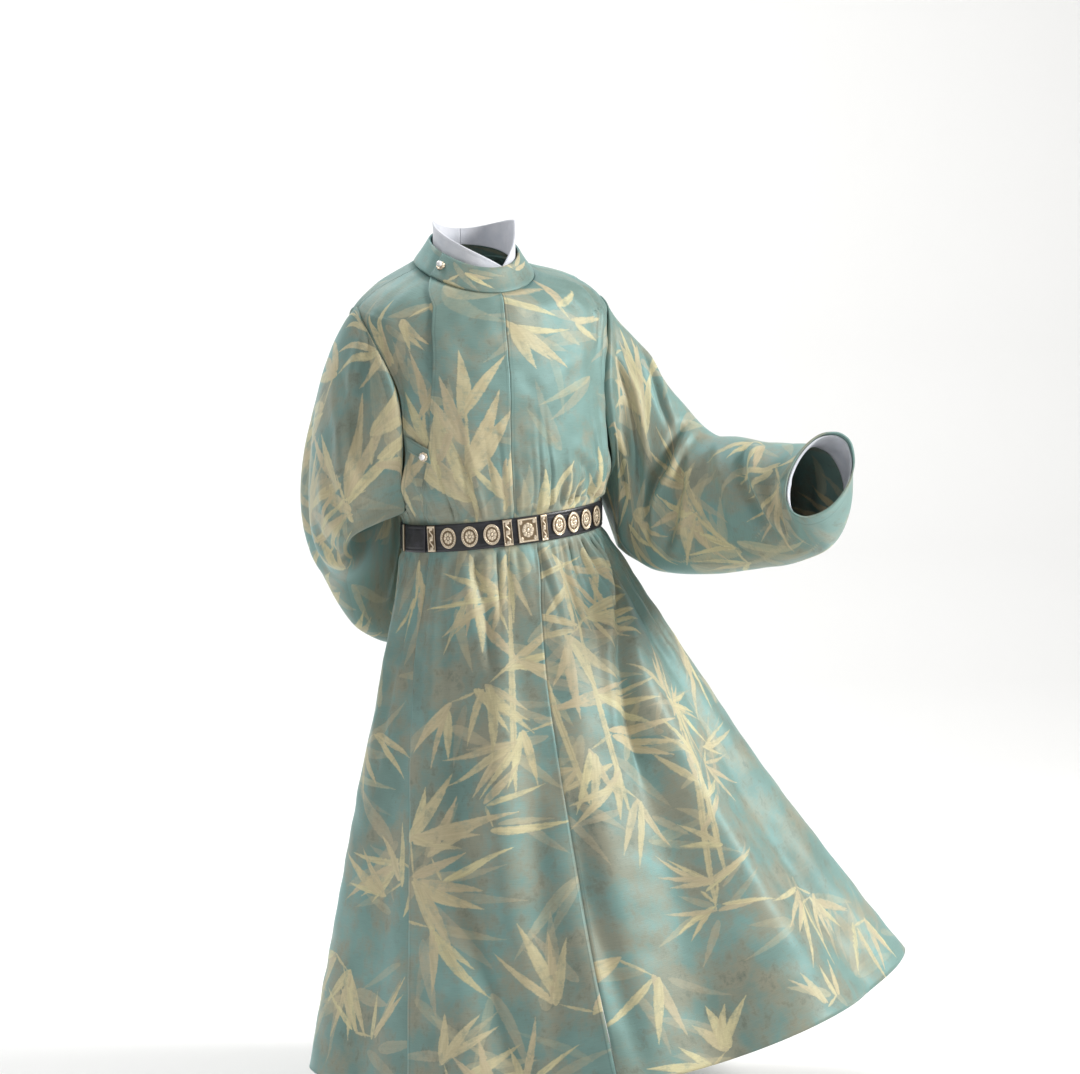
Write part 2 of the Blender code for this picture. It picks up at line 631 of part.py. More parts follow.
def belt_ring(angle, share, lift, thickness):
    """Outer and inner points of a strip round the belt; share runs from its top to its foot."""
    down = (BELT_TOP + BELT_BOTTOM - STRAP_HEIGHT) / 2 + STRAP_HEIGHT * share
    return cloth_faces(angle, down, lift, thickness)


def make_belt():
    turns = np.linspace(-180, 180, STRAP_COLUMNS, endpoint=False)
    share, angle = np.meshgrid(np.array([0.0, 1.0]), turns, indexing="ij")
    outer, inner = belt_ring(angle, share, CLOTH + SEAM, BELT_THICKNESS)
    wall_mesh("belt_strap", outer, inner, "belt_leather", round_closed=True)
    turns = np.linspace(KEEPER_START, KEEPER_END, 6)
    share, angle = np.meshgrid(np.array([0.0, 1.0]), turns, indexing="ij")
    lift = CLOTH + 2 * SEAM + BELT_THICKNESS
    outer, inner = belt_ring(angle, share, lift, KEEPER_PROUD)
    wall_mesh("belt_keeper", outer, inner, "belt_leather")


def frame_at(point_of, angle, level, upward):
    """A place on a surface for a fitting: X runs round the wearer and Z points outward."""
    here = Vector(point_of(angle, level).tolist())
    around = Vector((point_of(angle + 0.5, level) - point_of(angle - 0.5, level)).tolist()).normalized()
    rising = Vector((point_of(angle, level + upward) - point_of(angle, level - upward)).tolist())
    normal = around.cross(rising).normalized()
    turn = Matrix((around, normal.cross(around), normal)).transposed().to_4x4()
    return Matrix.Translation(here) @ turn


def belt_face(angle, down):
    """The outer face of the strap at one place round it."""
    outer, _ = cloth_faces(np.array([angle]), np.array([down]), CLOTH + SEAM, BELT_THICKNESS)
    return outer[0]


def make_fitting(fitting):
    bm = bmesh.new()
    if fitting.shape == "medallion":
        bmesh.ops.create_cone(
            bm, cap_ends=True, segments=MEDALLION_SIDES,
            radius1=0.5, radius2=0.5 * MEDALLION_DOME, depth=1.0,
        )
    else:
        bmesh.ops.create_cube(bm, size=1.0)
    bmesh.ops.scale(bm, vec=(fitting.width, fitting.height, PLAQUE_THICKNESS), verts=bm.verts)
    mesh = bpy.data.meshes.new(fitting.name)
    bm.to_mesh(mesh)
    bm.free()
    thing = add_object("belt_" + fitting.name, mesh, "pale_brass", smooth=False)
    middle = (BELT_TOP + BELT_BOTTOM) / 2
    lift = Matrix.Translation((0, 0, SEAM + PLAQUE_THICKNESS / 2))
    thing.matrix_world = frame_at(belt_face, fitting.angle, middle, -0.005) @ lift


def make_button(name, place):
    """A pearl seated on a small metal mount, at a frame on the cloth."""
    bm = bmesh.new()
    bmesh.ops.create_cone(
        bm, cap_ends=True, segments=BUTTON_SIDES, radius1=PEARL_MOUNT_RADIUS,
        radius2=PEARL_MOUNT_RADIUS * MEDALLION_DOME, depth=PEARL_MOUNT_THICKNESS,
    )
    mesh = bpy.data.meshes.new(name + "_mount")
    bm.to_mesh(mesh)
    bm.free()
    mount = add_object(name + "_mount", mesh, "pale_brass", smooth=False)
    mount.matrix_world = place @ Matrix.Translation((0, 0, BUTTON_SEAT + PEARL_MOUNT_THICKNESS / 2))
    bm = bmesh.new()
    bmesh.ops.create_uvsphere(bm, u_segments=BUTTON_SIDES, v_segments=8, radius=PEARL_RADIUS)
    mesh = bpy.data.meshes.new(name + "_pearl")
    bm.to_mesh(mesh)
    bm.free()
    pearl = add_object(name + "_pearl", mesh, "pearl")
    rise = BUTTON_SEAT + PEARL_MOUNT_THICKNESS + SEAM + PEARL_RADIUS
    pearl.matrix_world = place @ Matrix.Translation((0, 0, rise))


def collar_face(angle, up):
    angle, up = np.array([angle]), np.array([up])
    return (collar_point(angle, up) + collar_outward(angle, up) * COLLAR_CLOTH)[0]


def tab_face(angle, down):
    outer, _ = cloth_faces(np.array([angle]), np.array([down]), CLOTH + SEAM)
    return outer[0]


def make_buttons():
    make_button("collar_button", frame_at(collar_face, COLLAR_BUTTON_ANGLE, 0.5, 0.05))
    down = TAB_DOWN + TAB_SLOPE + TAB_HEIGHT / 2
    make_button("side_button", frame_at(tab_face, SIDE_BUTTON_ANGLE, down, -0.002))


def main():
    clear_scene()
    robe = bpy.data.collections.new("hanfu")
    bpy.context.scene.collection.children.link(robe)
    make_panels()
    make_sleeve("left_sleeve", 1, LEFT_SLEEVE)
    make_sleeve("right_sleeve", -1, RIGHT_SLEEVE)
    make_collar()
    make_inner_collar("inner_collar_right", -1)
    make_inner_collar("inner_collar_left", 1)
    make_inner_cuff()
    make_tab()
    make_belt()
    for fitting in FITTINGS:
        make_fitting(fitting)
    make_buttons()


main()
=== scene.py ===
"""The look of a round-collar hanfu: satin cloth with a woven bamboo-leaf print, worn and belted.

Frame: the wearer faces -Y, their left is +X, +Z is up, and the origin is the middle of the
neck ring. The robe's rings, folds and sleeve sections are the ones that its solids use, so
each piece lies on its solid, with finer rows, creases and a print added to it.
Sizes are metres and angles are degrees unless a name says otherwise.
"""

import math
from collections import namedtuple

import bpy
import numpy as np
from mathutils import Matrix, Vector

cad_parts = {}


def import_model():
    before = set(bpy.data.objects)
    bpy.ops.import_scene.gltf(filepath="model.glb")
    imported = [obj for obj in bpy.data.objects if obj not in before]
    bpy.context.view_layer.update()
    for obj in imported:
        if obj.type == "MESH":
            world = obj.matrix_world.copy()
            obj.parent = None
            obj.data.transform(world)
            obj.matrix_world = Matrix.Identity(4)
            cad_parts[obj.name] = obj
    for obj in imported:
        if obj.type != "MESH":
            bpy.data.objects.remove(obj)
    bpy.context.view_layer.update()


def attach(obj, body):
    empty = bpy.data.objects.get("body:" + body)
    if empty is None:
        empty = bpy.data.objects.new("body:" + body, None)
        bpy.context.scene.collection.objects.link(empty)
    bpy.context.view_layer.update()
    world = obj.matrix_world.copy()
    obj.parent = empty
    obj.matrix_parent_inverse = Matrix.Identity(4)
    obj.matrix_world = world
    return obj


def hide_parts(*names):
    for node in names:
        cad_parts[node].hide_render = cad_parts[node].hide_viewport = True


CLOTH = 0.002
SEAM = 0.0003
TURN_STEP = 0.05
DOWN_STEP = 1e-4

BELT_TOP = 0.340
BELT_HEIGHT = 0.040
BELT_BOTTOM = BELT_TOP + BELT_HEIGHT
BELT_MIDDLE = (BELT_TOP + BELT_BOTTOM) / 2
SKIRT_LENGTH = 0.755
HEM = BELT_BOTTOM + SKIRT_LENGTH

ARMHOLE_TOP = 0.050
ARMHOLE_BOTTOM = 0.325
ARMHOLE_HALF_ANGLE = 30.0

# The robe's level rings from the neck seam to the belt.
Ring = namedtuple("Ring", "name down x y half_width front back nod bow sway")
RINGS = (
    Ring("neck seam", 0.000, 0.000, 0.000, 0.083, 0.082, 0.074, 0.026, 0.008, 0.000),
    Ring("yoke", 0.024, 0.010, 0.002, 0.152, 0.096, 0.092, 0.024, 0.012, 0.006),
    Ring("shoulder", 0.062, 0.012, 0.004, 0.186, 0.108, 0.106, 0.020, 0.014, 0.006),
    Ring("chest", 0.170, 0.016, 0.000, 0.174, 0.130, 0.118, 0.006, 0.004, 0.004),
    Ring("rib", 0.280, 0.028, -0.008, 0.166, 0.124, 0.110, 0.000, 0.000, 0.010),
    Ring("belt top", BELT_TOP, 0.036, -0.014, 0.143, 0.102, 0.098, 0.000, 0.000, 0.015),
    Ring("belt bottom", BELT_BOTTOM, 0.036, -0.014, 0.143, 0.102, 0.098, 0.000, 0.000, 0.015),
)
HEM_X = 0.180
HEM_Y = -0.065
HEM_HALF_WIDTH = 0.420
HEM_DEPTH = 0.280
HEM_TURN = -20.0
HEM_FLARE_RIGHT = 0.09
HEM_HOLLOW_LEFT = 0.13

Edge = namedtuple("Edge", "down angle")
CLOSURE = (
    Edge(0.000, -66.0),
    Edge(0.024, -40.0),
    Edge(0.060, -35.0),
    Edge(0.170, -42.0),
    Edge(0.250, -48.0),
    Edge(BELT_TOP, -62.0),
    Edge(BELT_BOTTOM, -61.0),
    Edge(0.500, -62.0),
    Edge(0.600, -58.5),
    Edge(0.750, -52.0),
    Edge(0.900, -47.5),
    Edge(HEM, -43.0),
)
CENTRE_SEAM = (
    Edge(0.000, 6.0),
    Edge(0.024, -0.3),
    Edge(0.060, -1.0),
    Edge(0.170, -4.0),
    Edge(BELT_TOP, -9.0),
    Edge(BELT_BOTTOM, 5.0),
    Edge(0.480, 0.5),
    Edge(0.600, -2.0),
    Edge(0.900, -1.5),
    Edge(HEM, 0.0),
)
UNDER_DROP = CLOTH + 2 * SEAM
UNDER_CLEAR = 0.0005
UNDER_DIP = 1.5
LEFT_COLUMNS = 110
OVERLAP_COLUMNS = 64
BACK_COLUMNS = 100
UNDER_COLUMNS = 40

Fold = namedtuple("Fold", "name angle_top angle_end top end rise_top rise_end spread_top spread_end")
FOLDS = (
    Fold("front left trough", 28, 20, 0.400, HEM, -0.008, -0.022, 6, 9),
    Fold("front left ridge", 42, 40, 0.420, HEM, 0.006, 0.022, 7, 13),
    Fold("left trough", 60, 62, 0.420, HEM, -0.006, -0.024, 7, 9),
    Fold("left ridge", 80, 86, 0.440, HEM, 0.003, 0.006, 8, 12),
    Fold("centre ridge", 8, 2, 0.400, HEM, 0.006, 0.014, 5, 8),
    Fold("front middle trough", -14, -14, 0.420, HEM, -0.005, -0.024, 6, 9),
    Fold("front right ridge", -30, -30, 0.440, HEM, 0.004, 0.016, 7, 8),
    Fold("right trough", -62, -60, 0.440, HEM, -0.004, -0.016, 7, 9),
    Fold("right ridge", -84, -82, 0.440, HEM, 0.003, 0.010, 8, 10),
    Fold("back left trough", 112, 108, 0.430, HEM, -0.006, -0.024, 7, 10),
    Fold("back left ridge", 132, 132, 0.430, HEM, 0.006, 0.024, 8, 11),
    Fold("back middle trough", 158, 156, 0.430, HEM, -0.006, -0.024, 8, 11),
    Fold("back middle ridge", 180, 180, 0.430, HEM, 0.006, 0.022, 8, 10),
    Fold("back right trough", -156, -154, 0.430, HEM, -0.006, -0.022, 8, 11),
    Fold("back right ridge", -130, -130, 0.430, HEM, 0.006, 0.022, 8, 11),
    Fold("back far right trough", -106, -106, 0.430, HEM, -0.005, -0.020, 7, 9),
    Fold("left blouse", 56, 60, 0.200, 0.332, 0.002, 0.009, 12, 14),
    Fold("front blouse", 4, 6, 0.240, 0.332, 0.001, 0.008, 14, 16),
    Fold("right blouse", -52, -56, 0.220, 0.332, 0.001, 0.008, 12, 14),
    Fold("back left blouse", 140, 140, 0.220, 0.332, 0.002, 0.010, 14, 16),
    Fold("back right blouse", -140, -140, 0.220, 0.332, 0.002, 0.010, 14, 16),
)
FOLD_FADE = 0.045

Section = namedtuple("Section", "name x y z heading lean roll half_height half_depth taper")
LEFT_SLEEVE = (
    Section("head", 0.212, -0.006, -0.226, -16, 0, 0, 0.156, 0.060, 0.30),
    Section("upper", 0.238, -0.018, -0.262, -24, -6, 0, 0.144, 0.064, 0.20),
    Section("elbow back", 0.274, -0.046, -0.308, -38, -8, 0, 0.124, 0.066, 0.10),
    Section("elbow", 0.314, -0.094, -0.335, -56, -4, 0, 0.101, 0.068, 0.00),
    Section("forearm", 0.345, -0.158, -0.331, -62, 4, 0, 0.093, 0.064, 0.00),
    Section("wrist", 0.371, -0.224, -0.327, -64, 6, 4, 0.084, 0.060, 0.00),
    Section("cuff turn", 0.396, -0.285, -0.313, -84, 14, 14, 0.076, 0.054, 0.00),
    Section("mouth", 0.378, -0.331, -0.278, -104, 24, 34, 0.068, 0.040, 0.00),
)
RIGHT_SLEEVE = (
    Section("head", -0.177, 0.010, -0.216, 158, 0, 0, 0.156, 0.054, 0.40),
    Section("upper", -0.176, 0.058, -0.264, 118, -4, 0, 0.156, 0.054, 0.30),
    Section("elbow", -0.152, 0.120, -0.312, 82, -6, 0, 0.142, 0.058, 0.15),
    Section("forearm", -0.100, 0.170, -0.386, 42, -6, 0, 0.140, 0.050, 0.00),
    Section("behind back", -0.042, 0.196, -0.418, 14, 0, 0, 0.132, 0.044, 0.00),
    Section("wrist", 0.022, 0.204, -0.410, 2, 6, 0, 0.106, 0.042, 0.00),
    Section("mouth", 0.080, 0.200, -0.394, -6, 8, 0, 0.078, 0.040, 0.00),
)
SLEEVE_ROOT = 0.0014
SLEEVE_TURN = 0.009
SLEEVE_TURN_SHARE = 0.04
SLEEVE_CREASES_FROM = 0.10
INNER_CUFF_START = 0.86
INNER_CUFF_END = 0.985
INNER_CUFF_GAP = 0.001
SLEEVE_LENGTH = {1: 0.47, -1: 0.52}

COLLAR_TOP_WIDTH = 0.061
COLLAR_TOP_FRONT = 0.066
COLLAR_TOP_BACK = 0.060
COLLAR_TOP_RISE = 0.033
COLLAR_TOP_NOD = 0.026
COLLAR_TOP_BOW = 0.006
COLLAR_ROUNDING = 0.18
COLLAR_STEP = 360 / 26
COLLAR_CLOTH = 0.0024
COLLAR_EDGE = 0.0006
COLLAR_EDGE_SHARE = 0.12

INNER_CLOTH = 0.0016
INNER_SHARE = 0.946
INNER_HIGH = 0.068
INNER_LOW = 0.003
INNER_POINT = 20.0
INNER_RIGHT_SIDE = -112.0
INNER_LEFT_SIDE = 72.0
INNER_CROSSING = 15.0
INNER_DEPTH = 0.020
INNER_LEAST = 0.012
INNER_BACK = 179.8
INNER_OVER_FROM = 70.0
INNER_OVER_WITHIN = 30.0
INNER_BACK_DIP = 0.012
INNER_ROLL = 0.0005

TAB_DOWN = 0.222
TAB_HEIGHT = 0.020
TAB_START = -59.0
TAB_END = -47.0
TAB_SLOPE = 0.018

BELT_THICKNESS = 0.003
BELT_LIFT = CLOTH + SEAM
STRAP_HEIGHT = 0.038
KEEPER_START = -83.0
KEEPER_END = -63.0
KEEPER_PROUD = 0.002
PLAQUE_THICKNESS = 0.0024

Fitting = namedtuple("Fitting", "name angle shape width height")


def numbered(name, angles, shape, width, height):
    """Fittings of one kind side by side, numbered from 1."""
    places = enumerate(angles, 1)
    return [Fitting(f"{name}_{number}", angle, shape, width, height) for number, angle in places]


FITTINGS = (
    Fitting("end_bar", -86.5, "bar", 0.004, 0.038),
    Fitting("right_bar", -58.5, "vine", 0.012, 0.037),
    Fitting("medallion_right_1", -47.0, "medallion", 0.023, 0.030),
    Fitting("medallion_right_2", -34.0, "medallion", 0.024, 0.030),
    Fitting("medallion_right_3", -21.5, "medallion", 0.024, 0.030),
    Fitting("narrow_plaque", -12.5, "vine", 0.013, 0.037),
    Fitting("square_plaque", -1.3, "rosette", 0.029, 0.034),
    Fitting("left_bar", 8.5, "vine", 0.010, 0.037),
    *numbered("medallion_left", (18.0, 28.5, 39.5, 52.0), "medallion", 0.023, 0.030),
    *numbered("back_plaque", (102.0, 124.0, 148.0, 170.0, -168.0, -146.0, -122.0), "rosette", 0.026, 0.032),
)
RELIEF_DEPTH = 0.0011
RELIEF_BEVEL = 0.0005
PEARL_RADIUS = 0.0042
PEARL_MOUNT_RADIUS = 0.0068
PEARL_MOUNT_THICKNESS = 0.0016
PETAL_DEPTH = 0.0008
PEARL_HOLLOW = 0.3
BUTTON_SEAT = 0.0004
COLLAR_BUTTON_ANGLE = -60.0
SIDE_BUTTON_ANGLE = -50.0

# Metres of flat cloth or leather for one degree round each small piece, and the flat height
# of the collar band.
COLLAR_PER_DEGREE = 0.0013
INNER_PER_DEGREE = 0.0011
TAB_PER_DEGREE = 0.0024
BELT_PER_DEGREE = 0.0022
COLLAR_HEIGHT = 0.045

# A sewn line: half its width, and how far it runs from a panel's side or the collar's edge,
# from the hem, from a sleeve's mouth and from the tab's edge.
STITCH = 0.0011
SEAM_STITCH = 0.004
HEM_STITCH = 0.018
CUFF_STITCH = 0.012
TAB_STITCH = 0.003

# The pressed line along each edge of the belt's leather: how deep, how far in and how wide.
PRESS_DEPTH = 0.0005
PRESS_IN = 0.005
PRESS_WIDTH = 0.0011
LEATHER_ROUNDING = 0.0009
LEATHER_EDGE = 0.003

# Creases pressed into the cloth: a path of places on the piece, how wide and deep the trough
# is, and the ridge beside it. On the robe a place is (angle, distance down), and on a sleeve
# (turn round it, share of its length). The ridge stands off the path and has a width of its
# own, both in widths of the trough.
Crease = namedtuple("Crease", "path width depth ridge")
CREASE_PER_DEGREE = 0.003
CREASE_START = 0.02
CREASE_FADE = 0.6
RIDGE_ASIDE = 1.9
RIDGE_WIDTH = 1.1
RIDGE_REACH = 4
ROBE_CREASES = (
    Crease(((74, 0.066), (71, 0.120), (66, 0.200), (58, 0.290), (62, 0.336)), 0.011, 0.0084, 0.0042),
    Crease(((100, 0.016), (74, 0.022), (58, 0.056), (52, 0.100)), 0.006, 0.0034, 0.0028),
    Crease(((84, 0.030), (66, 0.062), (60, 0.110), (58, 0.170)), 0.007, 0.0031, 0.0022),
    Crease(((-66, 0.050), (-58, 0.120), (-58, 0.200)), 0.010, 0.0050, 0.0028),
    Crease(((-70, 0.180), (-62, 0.250), (-66, 0.322)), 0.009, 0.0050, 0.0031),
    Crease(((-33, 0.336), (-29, 0.280), (-31, 0.236)), 0.006, 0.0039, 0.0022),
    Crease(((22, 0.338), (18, 0.300), (20, 0.262)), 0.007, 0.0036, 0.0020),
    Crease(((46, 0.338), (38, 0.290), (28, 0.262)), 0.008, 0.0045, 0.0025),
    Crease(((60, 0.400), (41, 0.500), (33, 0.564), (26, 0.660), (24, 0.730)), 0.011, 0.0140, 0.0070),
    Crease(((20, 0.390), (18, 0.430), (19, 0.520)), 0.007, 0.0080, 0.0048),
    Crease(((-31, 0.388), (-25, 0.462), (-22, 0.560)), 0.008, 0.0085, 0.0048),
    Crease(
        ((-20, 1.130), (-23, 0.980), (-28, 0.880), (-31, 0.780), (-32, 0.660), (-31, 0.480)),
        0.026, 0.022, 0.013,
    ),
    Crease(((-17, 0.500), (-19, 0.700), (-18, 0.900), (-13, 1.130)), 0.032, -0.015, 0.0),
    Crease(((1, 0.740), (1, 0.880), (3, 1.002), (5, 1.120)), 0.017, 0.0130, 0.0070),
    Crease(((-46, 0.400), (-44, 0.520), (-42, 0.680)), 0.010, 0.0042, 0.0025),
    Crease(((-74, 0.400), (-76, 0.540), (-74, 0.700)), 0.010, 0.0050, 0.0028),
    Crease(((74, 0.390), (72, 0.480), (74, 0.640)), 0.010, 0.0056, 0.0036),
    Crease(((44, 0.560), (48, 0.700), (50, 0.850), (50, 1.060)), 0.024, 0.0120, 0.0070),
    Crease(((88, 0.400), (92, 0.560), (94, 0.760)), 0.012, 0.0056, 0.0034),
    Crease(((106, 0.070), (112, 0.140), (118, 0.240), (114, 0.330)), 0.012, 0.0070, 0.0036),
    Crease(((-106, 0.070), (-112, 0.140), (-118, 0.240), (-114, 0.330)), 0.012, 0.0070, 0.0036),
    Crease(((150, 0.060), (158, 0.140), (162, 0.240)), 0.012, 0.0045, 0.0025),
    Crease(((-148, 0.070), (-156, 0.150), (-158, 0.250)), 0.012, 0.0045, 0.0025),
    Crease(((134, 0.338), (140, 0.280), (150, 0.230)), 0.009, 0.0048, 0.0028),
    Crease(((-130, 0.338), (-138, 0.290), (-150, 0.240)), 0.009, 0.0048, 0.0028),
    Crease(((122, 0.390), (120, 0.520), (118, 0.700)), 0.012, 0.0070, 0.0042),
    Crease(((146, 0.390), (146, 0.500), (144, 0.640)), 0.010, 0.0062, 0.0034),
    Crease(((168, 0.390), (170, 0.560), (168, 0.780)), 0.012, 0.0070, 0.0039),
    Crease(((-168, 0.390), (-170, 0.540), (-168, 0.700)), 0.010, 0.0062, 0.0034),
    Crease(((-142, 0.390), (-144, 0.560), (-142, 0.760)), 0.012, 0.0070, 0.0039),
    Crease(((-118, 0.390), (-118, 0.520), (-116, 0.660)), 0.010, 0.0062, 0.0034),
    Crease(((-94, 0.390), (-94, 0.540), (-92, 0.740)), 0.012, 0.0064, 0.0036),
)
LEFT_SLEEVE_CREASES = (
    Crease(((20, 0.44), (66, 0.415), (87, 0.374), (102, 0.358), (124, 0.370)), 0.009, 0.0175, 0.0125),
    Crease(
        ((18, 0.679), (48, 0.695), (69, 0.712), (87, 0.745), (114, 0.786), (138, 0.827)),
        0.009, 0.0150, 0.0120,
    ),
    Crease(((96, 0.880), (120, 0.860), (140, 0.850)), 0.006, 0.0049, 0.0035),
    Crease(((4, 0.220), (22, 0.290), (36, 0.340), (44, 0.400)), 0.010, 0.0068, 0.0041),
    Crease(((54, 0.10), (64, 0.200), (84, 0.280), (110, 0.320)), 0.010, 0.0059, 0.0035),
    Crease(((100, 0.06), (106, 0.160), (118, 0.240)), 0.009, 0.0049, 0.0027),
    Crease(((46, 0.470), (74, 0.500), (104, 0.480), (130, 0.440)), 0.009, 0.0090, 0.0066),
    Crease(((30, 0.560), (58, 0.590), (84, 0.640), (112, 0.640)), 0.008, 0.0049, 0.0032),
    Crease(((60, 0.900), (80, 0.880), (100, 0.930)), 0.006, 0.0035, 0.0024),
    Crease(((-40, 0.14), (-60, 0.260), (-96, 0.360), (-130, 0.420)), 0.011, 0.0081, 0.0043),
    Crease(((-20, 0.360), (-60, 0.430), (-100, 0.480)), 0.010, 0.0068, 0.0041),
    Crease(((-30, 0.620), (-70, 0.660), (-120, 0.640)), 0.010, 0.0059, 0.0035),
    Crease(((-50, 0.800), (-90, 0.790), (-130, 0.820)), 0.008, 0.0046, 0.0030),
    Crease(((150, 0.120), (164, 0.260), (172, 0.420)), 0.010, 0.0059, 0.0032),
)
RIGHT_SLEEVE_CREASES = (
    Crease(((28, 0.030), (46, 0.060), (60, 0.100), (80, 0.120), (104, 0.150)), 0.009, 0.0068, 0.0041),
    Crease(((54, 0.200), (69, 0.170), (84, 0.140), (108, 0.130), (130, 0.100)), 0.010, 0.0076, 0.0046),
    Crease(((100, 0.240), (126, 0.200), (150, 0.150)), 0.010, 0.0068, 0.0041),
    Crease(((120, 0.320), (146, 0.290), (170, 0.230)), 0.010, 0.0068, 0.0041),
    Crease(((60, 0.340), (90, 0.360), (126, 0.400), (160, 0.380)), 0.011, 0.0076, 0.0046),
    Crease(((70, 0.500), (104, 0.480), (140, 0.500)), 0.012, 0.0076, 0.0046),
    Crease(((60, 0.640), (96, 0.660), (136, 0.640)), 0.011, 0.0062, 0.0041),
    Crease(((50, 0.800), (90, 0.820), (130, 0.790)), 0.010, 0.0054, 0.0032),
    Crease(((-40, 0.300), (-76, 0.340), (-110, 0.420)), 0.011, 0.0076, 0.0046),
    Crease(((-50, 0.560), (-90, 0.600), (-130, 0.580)), 0.011, 0.0068, 0.0041),
    Crease(((-40, 0.760), (-84, 0.780), (-120, 0.740)), 0.010, 0.0054, 0.0032),
)

# Pleats at the belt: how many, and the ranges that their places, slant, length, width and
# height are drawn from. Lengths are metres and widths are degrees.
GATHER_COUNT = 56
GATHER_SEED = 5
GATHER_SHIFT = 0.4
GATHER_LEAN = 30
GATHER_LENGTHS = (0.040, 0.120)
GATHER_WIDTHS = (1.0, 2.1)
GATHER_HEIGHTS = (0.0018, 0.0052)
GATHER_START = 0.012

# Gentle waves of hanging cloth, and how far they run on: for a degree of a panel or the
# collar, from a sleeve's middle to its side, and from the collar's seam to its top.
WAVES = 14
WAVE_LENGTHS = (0.035, 0.12)
WAVE_HEIGHT = 0.0007
PANEL_WAVE_STEP = 0.004
SLEEVE_WAVE_REACH = 0.1
COLLAR_WAVE_STEP = 0.0014
COLLAR_WAVE_RISE = 0.05
COLLAR_WAVE_HEIGHT = 0.0003

# Seeds of the waves and of the print, so that every run draws the same.
PANEL_WAVE_SEED = 3
SLEEVE_WAVE_SEED = 21
COLLAR_WAVE_SEED = 8
FIRST_PANEL_SEED = 11
LEFT_SLEEVE_SEED = 16
RIGHT_SLEEVE_SEED = 17
COLLAR_SEED = 31

# Sprays of the woven bamboo print: where each is rooted, which way it grows on the flat
# cloth (0 is up the robe or towards the sleeve's root, 90 towards greater angles), the length
# of its stem, its leaves, how far they fan out, and a leaf's length and width.
Spray = namedtuple("Spray", "angle down heading reach leaves fan length width")
OVERLAP_SPRAYS = (
    Spray(-30, 0.345, 3, 0.165, 9, 32, 0.150, 0.023),
    Spray(-44, 0.300, -6, 0.040, 4, 22, 0.110, 0.019),
    Spray(-14, 0.330, 18, 0.040, 4, 30, 0.095, 0.016),
    Spray(-34, 0.385, 172, 0.090, 7, 24, 0.095, 0.013),
    Spray(-14, 0.390, 182, 0.050, 5, 24, 0.080, 0.012),
    Spray(-16, 0.720, -4, 0.300, 8, 125, 0.105, 0.014),
    Spray(-40, 0.590, 190, 0.010, 5, 52, 0.090, 0.015),
    Spray(-24, 0.570, 165, 0.020, 7, 60, 0.105, 0.014),
    Spray(-12, 0.640, 195, 0.010, 5, 40, 0.100, 0.012),
    Spray(-22, 0.765, 100, 0.000, 4, 46, 0.080, 0.012),
    Spray(-42, 0.800, 34, 0.000, 3, 26, 0.095, 0.015),
    Spray(-47, 0.835, 112, 0.020, 10, 74, 0.135, 0.021),
    Spray(-40, 0.900, 160, 0.000, 6, 60, 0.110, 0.018),
    Spray(-10, 1.010, -8, 0.020, 8, 60, 0.115, 0.018),
    Spray(-34, 1.080, 40, 0.000, 6, 60, 0.100, 0.016),
    Spray(-18, 1.120, 10, 0.000, 5, 50, 0.090, 0.014),
)
RIGHT_FRONT_SPRAYS = (
    Spray(-50, 0.260, 6, 0.080, 6, 26, 0.105, 0.018),
    Spray(-62, 0.120, -10, 0.010, 6, 56, 0.085, 0.016),
    Spray(-50, 0.045, 150, 0.000, 5, 50, 0.070, 0.014),
    Spray(-74, 0.330, 10, 0.050, 5, 34, 0.080, 0.014),
    Spray(-70, 0.390, 176, 0.060, 5, 22, 0.080, 0.010),
    Spray(-78, 0.640, 120, 0.000, 4, 36, 0.100, 0.016),
    Spray(-55, 0.810, 232, 0.010, 8, 64, 0.115, 0.018),
    Spray(-60, 0.860, 300, 0.000, 5, 50, 0.095, 0.015),
    Spray(-70, 0.980, 176, 0.010, 7, 60, 0.110, 0.018),
    Spray(-58, 1.060, 30, 0.000, 6, 66, 0.100, 0.016),
    Spray(-84, 1.060, 20, 0.000, 5, 50, 0.090, 0.014),
    Spray(-20, 0.500, 170, 0.100, 6, 40, 0.090, 0.014),
    Spray(-20, 0.900, 10, 0.060, 8, 50, 0.100, 0.016),
)
